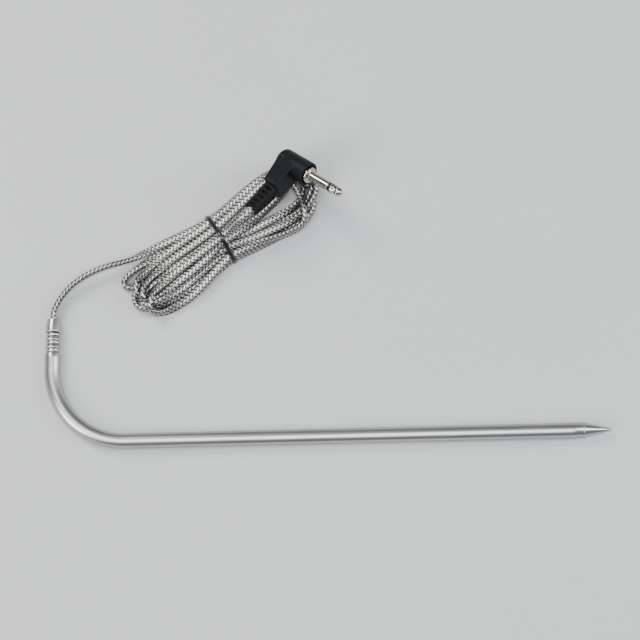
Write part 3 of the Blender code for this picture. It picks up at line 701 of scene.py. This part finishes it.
def settle_cable(line, held_start):
    """Lets the laid cable settle under its weight, its own stiffness, contact and the tie."""
    count = len(line)
    free = np.ones(count)
    free[:held_start] = 0.0
    free[count - HELD_NODES:] = 0.0
    laid = line.copy()
    first, second = np.triu_indices(count, 5)
    cross = np.array((-HANK_SIN, HANK_COS))
    for turn in range(SETTLE_ROUNDS):
        calm = turn > SETTLE_ROUNDS - CALM_ROUNDS
        if turn % 8 == 0:
            gap = line[first] - line[second]
            near = (gap * gap).sum(1) < CONTACT_SEARCH**2
            pairs = first[near], second[near]
            wide, thin = section_axes(line)
        pull = CALM_PULL if calm else LAID_PULL
        line[:, 2] -= SINK * free
        line[:, :2] += (laid[:, :2] - line[:, :2]) * (pull * free)[:, None]
        along, across = in_hank(line)
        across = across - TIE_CENTRE
        waist = (np.abs(along - TIE_STATION) < TIE_REACH) * free
        over = np.clip(np.abs(across) - TIE_HALF_WIDTH, 0.0, None) * np.sign(across) * waist
        line[:, :2] -= 0.5 * over[:, None] * cross
        line[:, 2] -= np.clip(line[:, 2] - TIE_HEIGHT, 0.0, None) * waist * 0.35
        straight = np.clip((22.0 - np.abs(along)) / 6.0, 0.0, 1.0)
        rest_height = FLOOR_GAP + TIE_LIFT * np.exp(-(((along - TIE_STATION) / 3.0) ** 2))
        for _ in range(3):
            moved = pushed_apart(line, pairs, wide, thin)
            moved[:, :2] *= 0.75 if calm else 0.45
            line += moved * (0.9 * free)[:, None]
            line += straightened(line, 1, 0.2 * free)
            line += straightened(line, 4, 0.05 * straight * free)
            push_from_plug(line, free)
            floor = np.hypot(CORD_HALF_WIDTH * wide[:, 2], CORD_HALF_RISE * thin[:, 2]) + rest_height
            line[:, 2] = np.where(free > 0.0, np.maximum(line[:, 2], floor), line[:, 2])
            keep_length(line, free)
    return line


def spline_line(points, step):
    """A uniform cubic B-spline that takes the points as its control points."""
    ends = with_ends(points)
    pieces = []
    for t in np.arange(8) / 8.0:
        weights = (
            (1.0 - t) ** 3 / 6.0,
            (3.0 * t**3 - 6.0 * t**2 + 4.0) / 6.0,
            (-3.0 * t**3 + 3.0 * t**2 + 3.0 * t + 1.0) / 6.0,
            t**3 / 6.0,
        )
        rows = len(ends) - 3
        pieces.append(sum(w * ends[i:i + rows] for i, w in enumerate(weights)))
    line = np.stack(pieces, axis=1).reshape(-1, 3)
    return resampled(np.vstack((line, points[-1:])), step)


def cable_line():
    """The settled centre line without its small kinks, a point for every ring."""
    line = smooth_line(cable_route(), NODE_STEP)
    held_start = len(smooth_line(np.array(lead_route()), NODE_STEP)) - 2
    line = settle_cable(line, held_start)
    for _ in range(2):
        line[3:-3] += 0.25 * (line[2:-4] - 2.0 * line[3:-3] + line[4:-2])
    return spline_line(line, RING_STEP)


CABLE = cable_line()


# ---- braid

# Height of the weave and width of a carrier, in mm, and the rings of the core
WEAVE_RISE = 0.1
CARRIER_WIDTH = 0.54
CORE_INSET = 0.26
CORE_STEP = 4
CORE_SIDES = 12


def section_table(inset, saddle):
    """Even points and normals round the cable's flat section, and the outline's length."""
    rise = CORD_HALF_RISE - inset
    flat = CORD_HALF_WIDTH - inset - rise
    angle = np.linspace(0.0, FULL_TURN, 2048, endpoint=False)
    cosine = np.cos(angle)
    sine = np.sin(angle)
    x = rise * cosine + flat * np.clip(3.0 * cosine, -1.0, 1.0)
    dip = saddle * np.exp(-((x / 0.35) ** 2))
    y = rise * sine - np.sign(sine) * dip * (np.abs(sine) > 0.5)
    even, length = even_loop(np.column_stack((x, y)), 512)
    return even, outward_of(even), length


def section_at(table, fraction):
    points, normals, _ = table
    place = (fraction % 1.0) * len(points)
    low = np.floor(place).astype(int)
    share = (place - low)[..., None]
    low = low % len(points)
    high = (low + 1) % len(points)
    return (
        points[low] * (1.0 - share) + points[high] * share,
        unit(normals[low] * (1.0 - share) + normals[high] * share),
    )


def end_narrowing(run):
    """The flat section is drawn in where it enters the ferrule and the strain relief."""
    start = np.clip(run / 3.0, 0.0, 1.0)
    end = np.clip((run[-1] - run - INSIDE_RELIEF + 0.5) / 2.0, 0.0, 1.0)
    return np.minimum(0.8 + 0.2 * start, 0.94 + 0.06 * end)


def carrier_strips(run, wide, thin, narrow):
    """The woven carriers: three points across each, lifted and dipped two over two."""
    table = section_table(WEAVE_RISE + 0.05, 0.06)
    half = 0.5 * CARRIER_WIDTH / cos(atan(table[2] / BRAID_LAY)) / table[2]
    for direction in (1, -1):
        for carrier in range(8):
            centre = carrier / 8.0 + direction * run / BRAID_LAY
            for side in (-1, 0, 1):
                weave = np.clip(1.5 * np.cos(8.0 * pi * (centre + side * half)), -1.0, 1.0)
                lift = direction * WEAVE_RISE * weave + (0.05 if side == 0 else -0.03)
                point, normal = section_at(table, centre + side * half)
                flat = point + normal * lift[:, None]
                place = CABLE + (flat[:, :1] * narrow[:, None]) * wide + flat[:, 1:] * thin
                across = np.full(len(run), 0.5 + 0.5 * side)
                yield place, np.column_stack((across, 8.0 * centre + (direction + 1) / 2))


def braid_piece():
    """Sixteen flat carriers, woven two over two, on a core painted dark as shadow."""
    count = len(CABLE)
    wide, thin = section_axes(CABLE)
    run = np.arange(count) * RING_STEP
    narrow = end_narrowing(run)
    verts, uvs = map(list, zip(*carrier_strips(run, wide, thin, narrow)))
    base = len(verts) * count
    edges = np.arange(0, base, count).reshape(-1, 3)[:, :2].ravel()
    low = (edges[:, None] + np.arange(count - 1)).ravel()
    faces = np.column_stack((low, low + count, low + count + 1, low + 1)).tolist()
    carriers = len(faces)
    turns = np.arange(CORE_SIDES) / CORE_SIDES
    point, _ = section_at(section_table(CORE_INSET, 0.03), turns)
    stations = np.unique(np.append(np.arange(0, count, CORE_STEP), count - 1))
    for i in stations:
        verts.append(CABLE[i] + point[:, :1] * narrow[i] * wide[i] + point[:, 1:] * thin[i])
        uvs.append(np.column_stack((turns, np.full(CORE_SIDES, run[i] / 0.6))))
    faces += ring_faces(len(stations), CORE_SIDES, base)
    last = base + (len(stations) - 1) * CORE_SIDES
    faces.append(tuple(reversed(range(base, base + CORE_SIDES))))
    faces.append(tuple(range(last, last + CORE_SIDES)))
    marks = np.zeros(len(faces), np.int32)
    # the second family of carriers takes the copy painted in shade
    marks[carriers // 2:] = 1
    # the core takes the painted shadow
    marks[carriers:] = 2
    return make_piece(
        "braided_cable", (np.vstack(verts) * MM).tolist(), faces, (WIRE, SHADED_CROSS_WIRE, SHADOW),
        ("cord_lead", "cord_hank", "cord_tail"), np.vstack(uvs), marks,
    )


cable = braid_piece()


# ---- tie

def hull(points):
    """The convex outline of flat points, counterclockwise."""
    points = sorted(map(tuple, points))

    def half(run):
        kept = []
        for p in run:
            while len(kept) > 1:
                (ax, ay), (bx, by) = kept[-2], kept[-1]
                if (bx - ax) * (p[1] - ay) - (by - ay) * (p[0] - ax) > 0.0:
                    break
                kept.pop()
            kept.append(p)
        return kept[:-1]

    return np.array(half(points) + half(points[::-1]))


def tie_piece():
    """The band pulled tight round the runs at the waist of the hank."""
    wide, thin = section_axes(CABLE)
    along, _ = in_hank(CABLE)
    angle = np.linspace(0.0, FULL_TURN, 24, endpoint=False)
    outline = []
    for index in np.flatnonzero(np.abs(along - TIE_STATION) < 0.5 * TIE_HALF_BAND):
        ring = (
            CABLE[index]
            + (CORD_HALF_WIDTH + 0.02) * np.cos(angle)[:, None] * wide[index]
            + (CORD_HALF_RISE + 0.02) * np.sin(angle)[:, None] * thin[index]
        )
        outline.append(np.column_stack((in_hank(ring)[1], ring[:, 2])))
    loop, _ = even_loop(hull(np.vstack(outline)), 120)
    for _ in range(10):
        loop = 0.5 * loop + 0.25 * (np.roll(loop, 1, axis=0) + np.roll(loop, -1, axis=0))
    outward = outward_of(loop)
    loop = loop + outward * (TIE_HALF_RISE + 0.06)
    sides = 14
    verts, uvs = [], []
    for i, (point, normal) in enumerate(zip(loop, outward)):
        for k in range(sides):
            turn = FULL_TURN * k / sides
            flat = point + normal * TIE_HALF_RISE * sin(turn)
            height = max(flat[1], 0.03)
            place = hank_point(TIE_STATION + TIE_HALF_BAND * cos(turn), flat[0], height)
            verts.append([value * MM for value in place])
            uvs.append((k / sides, i / 10.0))
    faces = [(a, d, c, b) for a, b, c, d in ring_faces(len(loop), sides, wrapped=True)]
    return make_piece("hank_band", verts, faces, (TIE,), ("hank_tie",), uvs)


tie = tie_piece()


# ---- turned and swept pieces

ROUND_SIDES = 64


def revolved(profile, sides):
    """Points, faces and UVs of a solid turned about Z. Profile points are (radius, height)."""
    points, uvs, rows = [], [], []
    run = 0.0
    before = profile[0]
    for radius, height in profile:
        run += hypot(radius - before[0], height - before[1])
        before = (radius, height)
        count = sides if radius > 0.0 else 1
        rows.append(range(len(points), len(points) + count))
        for k in range(count):
            turn = FULL_TURN * k / sides
            points.append(Vector((radius * cos(turn), radius * sin(turn), height)))
            uvs.append((k / sides, run / MM))
    pairs = list(zip(rows, rows[1:]))
    if len(rows[0]) > 1:
        pairs.append((rows[-1], rows[0]))
    faces = []
    for a, b in pairs:
        for k in range(sides):
            m = (k + 1) % sides
            corners = (a[k % len(a)], a[m % len(a)], b[m % len(b)], b[k % len(b)])
            face = tuple(dict.fromkeys(corners))
            if len(face) > 2:
                faces.append(face)
    return points, faces, uvs


def turned(name, profile, place, finish, replaced):
    """A turned piece whose profile is in metres."""
    points, faces, uvs = revolved(profile, ROUND_SIDES)
    verts = [place @ point for point in points]
    return make_piece(name, verts, faces, (finish,), (replaced,), uvs)


def in_metres(profile):
    return [(radius * MM, height * MM) for radius, height in profile]


def eased(profile, radius, steps=3):
    """The profile with a small round at each of its corners."""
    made = [profile[0]]
    for before, corner, after in zip(profile, profile[1:], profile[2:]):
        p = Vector(corner)
        back = Vector(before) - p
        on = Vector(after) - p
        reach = min(radius, 0.4 * back.length, 0.4 * on.length)
        start = p + back.normalized() * reach
        end = p + on.normalized() * reach
        for i in range(steps + 1):
            t = i / steps
            made.append(tuple((1 - t) ** 2 * start + 2 * t * (1 - t) * p + t * t * end))
    made.append(profile[-1])
    return made


def ring_bump(start, end, foot, peak):
    """One rolled ring's rounded outline, from its near foot to its far foot."""
    points = []
    for i in range(9):
        t = -1.0 + i / 4.0
        size = foot + (peak - foot) * sqrt(max(0.0, 1.0 - t * t))
        points.append(((start + (end - start) * (i / 8.0)) * MM, size * MM))
    return points


def crimp_profile():
    """Distance up the crimp and radius: three low rings, two high ones and the grooves."""
    points = [(0.0, TUBE_RADIUS - 0.02 * MM), (0.08 * MM, TUBE_RADIUS - 0.12 * MM)]
    for i in range(3):
        base = CRIMP_PITCH * i
        points.append(((base + 0.26) * MM, 1.47 * MM))
        points += ring_bump(base + 0.46, base + 1.32, 1.5, 1.73)
        if i < 2:
            points += ring_bump(base + 1.4, base + 2.16, 1.57, 1.89)
    return points + [(CRIMP_LENGTH - 0.14 * MM, 1.46 * MM), (CRIMP_LENGTH, 1.44 * MM)]


def bend_side(turn):
    return Vector((sin(turn), cos(turn), 0.0))


def probe_tube_piece():
    """The J tube: out of its bore at the front, round the bend, up the crimp and back inside.

    A station is (centre, side axis, radius, distance run, finish of the band that follows)."""
    bore = TUBE_RADIUS - TUBE_WALL
    start = bend_point(0.0)
    length = TUBE_FRONT - start.x
    bend_end = length + BEND_RADIUS * BEND_ANGLE
    stations = []

    def on_straight(x, size, run=0.0):
        stations.append((Vector((x, start.y, start.z)), bend_side(0.0), size, run, 0))

    def on_bend(turn, size):
        stations.append((bend_point(turn), bend_side(turn), size, length + BEND_RADIUS * turn, 0))

    def on_leg(distance, size, mark=0):
        stations.append((leg_point(distance), bend_side(BEND_ANGLE), size, bend_end + distance, mark))

    on_straight(TUBE_FRONT - SPIGOT_LENGTH, bore)
    on_straight(TUBE_FRONT, bore)
    on_straight(TUBE_FRONT, TUBE_RADIUS - 0.05 * MM)
    on_straight(TUBE_FRONT - 0.05 * MM, TUBE_RADIUS)
    for i in range(1, 41):
        on_straight(TUBE_FRONT - length * i / 40.0, TUBE_RADIUS, length * i / 40.0)
    for i in range(1, 49):
        on_bend(BEND_ANGLE * i / 48, TUBE_RADIUS)
    for distance in (1.4 * MM, 2.8 * MM, LEG_LENGTH - 0.05 * MM):
        on_leg(distance, TUBE_RADIUS)
    rings = crimp_profile()
    for (distance, size), (_, next_size) in zip(rings, rings[1:] + rings[-1:]):
        # stations in the grooves take the steel copy painted in shade
        shaded_groove = size + next_size < 2.0 * GROOVE_SHADE_RADIUS
        on_leg(LEG_LENGTH + distance, size, 2 if shaded_groove else 1)
    on_leg(LEG_LENGTH + CRIMP_LENGTH, CRIMP_BORE)
    on_leg(LEG_LENGTH, CRIMP_BORE)
    on_leg(LEG_LENGTH - MM, bore)
    for i in range(24, -1, -1):
        on_bend(BEND_ANGLE * i / 24.0, bore)
    verts, uvs = [], []
    for centre, side, radius, run, _ in stations:
        place = (run - bend_end - LEG_LENGTH) / MM
        high = 0.0 < place < 2.0 * CRIMP_PITCH and place % CRIMP_PITCH > HIGH_RING_START
        for k in range(ROUND_SIDES):
            turn = FULL_TURN * k / ROUND_SIDES
            size = radius * (1.0 - RING_LEAN * cos(turn)) if high else radius
            verts.append(centre + side * (size * cos(turn)) + UP * (size * sin(turn)))
            uvs.append((k / ROUND_SIDES, run / MM))
    faces = ring_faces(len(stations), ROUND_SIDES, wrapped=True)
    marks = np.repeat(np.array([station[-1] for station in stations], np.int32), ROUND_SIDES)
    return make_piece(
        "probe_tube_skin", verts, faces, (STEEL, STEEL_ROLLED, STEEL_GROOVE_SHADE),
        ("probe_tube",), uvs, marks,
    )


def axis_place(origin, axis):
    place = axis.to_track_quat("Z", "Y").to_matrix().to_4x4()
    place.translation = origin
    return place


def ferrule_piece():
    base = 2.0 * MM
    mouth = 1.55 * MM
    profile = [
        (FERRULE_BORE, 0.05 * MM),
        (base - 0.16 * MM, 0.05 * MM),
        (base, 0.34 * MM),
        (mouth, FERRULE_LENGTH - 0.12 * MM),
        (mouth - 0.12 * MM, FERRULE_LENGTH),
        (FERRULE_BORE + 0.16 * MM, FERRULE_LENGTH),
        (FERRULE_BORE, FERRULE_LENGTH - 0.2 * MM),
        (FERRULE_BORE, FERRULE_LENGTH * 0.5),
    ]
    place = axis_place(leg_point(LEG_LENGTH + CRIMP_LENGTH), LEG)
    profile = eased(profile, 0.14 * MM)
    return turned("cable_cone", profile, place, STEEL_TURNED, "cable_ferrule")


def tip_piece():
    """The ground point: a narrow weld bead, then a cone drawn in to a blunt end."""
    spigot = 1.55 * MM
    cone = 1.93 * MM
    bead_end = 0.4 * MM
    blunt = 0.13 * MM
    front = bend_point(0.0)
    front.x = TUBE_FRONT
    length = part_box("probe_tip")[1].x - TUBE_FRONT
    profile = [(0.0, -SPIGOT_LENGTH), (spigot, -SPIGOT_LENGTH), (spigot, 0.04 * MM), (cone, 0.04 * MM)]
    profile += [(1.985 * MM, 0.16 * MM), (1.99 * MM, 0.3 * MM), (cone, bead_end)]
    for i in range(1, 23):
        t = i / 22
        z = bead_end + (length - 0.55 * MM) * t
        profile.append((cone * (1.0 - t) ** 0.93 + blunt * t, z))
    profile.append((0.0, length))
    place = axis_place(front, Vector((1.0, 0.0, 0.0)))
    return turned("ground_point", profile, place, STEEL_TURNED, "probe_tip")


# ---- plug


PLUG = Matrix((ARM, JACK.cross(ARM), JACK)).transposed().to_4x4()
PLUG.translation = ELBOW


def work_object(work):
    mesh = bpy.data.meshes.new("work")
    work.to_mesh(mesh)
    work.free()
    return add_object("work", mesh)


def block(low, high, edge, segments=3, slope=0.0):
    """A block with rounded edges, in the plug's axes, in mm. slope draws its back in at the end."""
    work = bmesh.new()
    size = [(b - a) * MM for a, b in zip(low, high)]
    middle = [(a + b) / 2.0 * MM for a, b in zip(low, high)]
    place = Matrix.Translation(middle) @ Matrix.Diagonal((*size, 1.0))
    bmesh.ops.create_cube(work, size=1.0, matrix=place)
    for vertex in work.verts:
        if vertex.co.x > middle[0] and vertex.co.z < middle[2]:
            vertex.co.z += slope * MM
    bmesh.ops.bevel(
        work, geom=list(work.edges), offset=edge * MM, segments=segments, profile=0.5, affect="EDGES"
    )
    return work_object(work)


def lathe(profile, sides):
    """A turned solid about Z as a working object, in mm."""
    points, faces, _ = revolved(in_metres(profile), sides)
    work = bmesh.new()
    verts = [work.verts.new(point) for point in points]
    for face in faces:
        work.faces.new([verts[i] for i in face])
    bmesh.ops.recalc_face_normals(work, faces=work.faces)
    return work_object(work)


def add_modifier(item, kind, **values):
    modifier = item.modifiers.new(kind.lower(), kind)
    for name, value in values.items():
        setattr(modifier, name, value)


def apply_modifiers(item):
    """Bakes an object's modifiers into its mesh."""
    bpy.context.view_layer.update()
    graph = bpy.context.evaluated_depsgraph_get()
    mesh = bpy.data.meshes.new_from_object(item.evaluated_get(graph))
    item.modifiers.clear()
    item.data = mesh


def cut(item, cutters, operation="DIFFERENCE"):
    """Joins the cutters to the item or takes them away, then removes them."""
    for cutter in cutters:
        add_modifier(item, "BOOLEAN", operation=operation, solver="EXACT", object=cutter)
    apply_modifiers(item)
    for cutter in cutters:
        bpy.data.objects.remove(cutter, do_unlink=True)


def dress(item, name, finish, replaces):
    """Names a working object, puts it on the plug and gives it its finish."""
    item.name = name
    item.data.name = name
    item.data.transform(PLUG)
    item.data.materials.append(finish)
    item.data.shade_smooth()
    return settle(item, replaces)


def barrel_outline():
    centre = BARREL_RADIUS - BARREL_ROUND
    round_end = BARREL_BACK + BARREL_ROUND
    outline = [(0.0, BARREL_BACK)]
    for i in range(9):
        angle = pi / 2.0 * (1.0 - i / 8.0)
        radius = centre + BARREL_ROUND * cos(angle)
        outline.append((radius, round_end - BARREL_ROUND * sin(angle)))
    for i in range(1, 12):
        outline.append((BARREL_RADIUS, round_end + (BARREL_FRONT - 0.3 - round_end) * i / 11.0))
    outline.append((BARREL_RADIUS - 0.09, BARREL_FRONT - 0.09))
    return outline + [(BARREL_RADIUS - 0.3, BARREL_FRONT), (0.0, BARREL_FRONT)]


def housing_piece():
    """Barrel and cable arm in one moulding, with soft inner corners and a sunk front face."""
    housing = lathe(barrel_outline(), 72)
    arm_low = (0.2, -ARM_HALF_WIDTH, -ARM_BACK)
    arm = block(arm_low, (ARM_END, ARM_HALF_WIDTH, ARM_FRONT), 0.6, slope=ARM_SLOPE)
    cut(housing, [arm], "UNION")
    add_modifier(housing, "REMESH", mode="VOXEL", voxel_size=0.11 * MM)
    add_modifier(housing, "SMOOTH", factor=0.5, iterations=4)
    apply_modifiers(housing)
    recess = lathe([(0.0, 4.6), (2.72, 4.6), (2.72, 6.0), (0.0, 6.0)], 72)
    hollow = lathe([(0.0, -3.4), (2.6, -3.4), (2.6, 4.65), (0.0, 4.65)], 48)
    cavity = block((0.0, -1.75, -1.75), (ARM_END + 1.0, 1.75, 1.75), 0.3, 1)
    cut(housing, [hollow, recess, cavity])
    return dress(housing, "plug_cover", PLASTIC, ("plug_housing",))


def grip_ribs_piece():
    """Five low grip ribs on the barrel, on the side away from the hank."""
    ribs = []
    place = Matrix.Rotation(RIB_HEADING, 4, "Z")
    for i in range(5):
        rib = block((-0.2, -0.6, -0.14), (0.2, 0.6, 0.14), 0.08, 2)
        centre = (RIB_RADIUS * MM, 0.0, (-1.95 + RIB_STEP * i) * MM)
        rib.data.transform(place @ Matrix.Translation(centre))
        ribs.append(rib)
    cut(ribs[0], ribs[1:], "UNION")
    return dress(ribs[0], "grip_ribs", PLASTIC, ())


def relief_piece():
    """The tapering sleeve: a solid base ring, ribs between staggered slots, and a lip."""
    base = ARM_END + 0.05
    end = RELIEF_END
    outline = [
        (1.35, base - 1.5), (1.7, base - 1.5), (1.7, base), (2.45, base), (2.45, base + 0.4),
        (2.18, end - 0.25), (2.02, end), (1.45, end), (1.35, end - 0.1), (1.35, end - 3.0),
    ]
    relief = lathe(eased(outline, 0.12, 2), 96)
    first = base + 0.83
    slots = []
    for side in (1.0, -1.0):
        near, far = sorted((side * 1.5, side * 4.0))
        for i in range(5):
            x = first + SLOT_STEP * i
            slots.append(block((x, near, -0.95), (x + SLOT_WIDTH, far, 0.95), 0.12, 2))
        for i in range(4):
            x = first + SLOT_STEP * (i + 0.5)
            slots.append(block((x, -0.95, near), (x + SLOT_WIDTH, 0.95, far), 0.12, 2))
    for slot in slots:
        slot.data.transform(Matrix.Rotation(SLOT_TURN, 4, "X"))
    relief.data.transform(Matrix.Rotation(pi / 2.0, 4, "Y"))
    cut(relief, slots)
    add_modifier(relief, "BEVEL", width=0.06 * MM, segments=2, limit_method="ANGLE", angle_limit=0.7)
    apply_modifiers(relief)
    return dress(relief, "strain_sleeve", RELIEF_PLASTIC, ("strain_relief",))


def jack_pieces():
    """Collar and sleeve contact, insulating ring with its liner, and the tip with its rod."""
    sleeve = [
        (0.8, 1.0), (1.65, 1.0), (1.65, 4.8), (2.32, 4.8), (2.32, 5.85), (2.2, 6.13), (2.08, 6.2),
        (1.62, 6.2), (1.52, 6.32), (1.4, 6.36), (1.25, 6.42), (1.25, 12.92), (1.1, 13.1), (0.8, 13.1),
    ]
    ring = [
        (0.53, 0.4), (0.74, 0.4), (0.74, 13.15), (1.17, 13.15), (1.21, 13.3), (1.21, 13.58),
        (1.17, 13.7), (0.53, 13.7),
    ]
    tip = [
        (0.0, -0.6), (0.47, -0.6), (0.47, 13.75), (1.22, 13.75), (1.31, 13.83), (1.31, 14.3),
        (1.24, 14.42), (1.24, 15.1), (1.14, 15.34), (1.02, 15.5), (1.00, 15.62), (1.04, 15.76),
        (1.24, 16.08), (1.28, 16.24), (1.27, 16.44), (1.18, 16.62), (0.72, 17.22), (0.52, 17.4),
        (0.34, 17.45), (0.0, 17.45),
    ]
    sleeve, ring = (eased(in_metres(profile), 0.07 * MM) for profile in (sleeve, ring))
    return [
        turned("jack_contact", sleeve, PLUG, NICKEL, "jack_sleeve"),
        turned("jack_ring", ring, PLUG, RING_PLASTIC, "tip_insulator"),
        turned("jack_point", in_metres(tip), PLUG, NICKEL, "jack_tip"),
    ]


# ---- build

probe_tube_piece()
ferrule_piece()
tip_piece()
plug_cover = housing_piece()
ribs = grip_ribs_piece()
relief = relief_piece()
contacts = jack_pieces()


# ---- floor and light

FLOOR_REACH = 3.0
FLOOR_LEVEL = -0.02 * MM
LIGHT_TARGET = Vector((0.0, 0.02, 0.0))
SKY_STRENGTH = 0.22


def make_floor():
    """A plain pale floor, a hair below the probe."""
    made = Surface("pale_floor")
    cloud = made.noise(9.0, 4.0)
    tone = made.colours(cloud, (0.2, (0.53, 0.54, 0.55)), (0.8, (0.57, 0.58, 0.59)))
    finish = made.finish(tone, made.levels(cloud, 0.5, 0.65), made.noise(900.0), 0.02 * MM, 0.3)
    mesh = bpy.data.meshes.new("floor")
    signs = ((-1, -1), (1, -1), (1, 1), (-1, 1))
    corners = [(x * FLOOR_REACH, y * FLOOR_REACH, FLOOR_LEVEL) for x, y in signs]
    mesh.from_pydata(corners, [], [(0, 1, 2, 3)])
    mesh.materials.append(finish)
    add_object("floor", mesh)


def area_light(name, place, width, height, power, colour=(1.0, 1.0, 1.0)):
    data = bpy.data.lights.new(name, "AREA")
    data.shape = "RECTANGLE"
    data.size = width
    data.size_y = height
    data.energy = power
    data.color = colour
    light = add_object(name, data)
    light.location = place
    light.rotation_euler = (LIGHT_TARGET - Vector(place)).to_track_quat("-Z", "Y").to_euler()


world = bpy.data.worlds.new("studio")
world.use_nodes = True
background = world.node_tree.nodes["Background"]
background.inputs["Color"].default_value = (0.8, 0.84, 0.9, 1.0)
background.inputs["Strength"].default_value = SKY_STRENGTH
bpy.context.scene.world = world

make_floor()
area_light("key", (-0.45, 0.5, 0.65), 0.35, 0.35, 5.5, (1.0, 0.98, 0.95))
area_light("side", (-0.55, -0.32, 0.45), 0.25, 0.5, 4.0)
area_light("strip", (0.5, 0.05, 0.35), 0.08, 0.7, 3.0, (0.94, 0.97, 1.0))
area_light("top", (-0.05, -0.16, 1.0), 0.75, 0.75, 7.0)
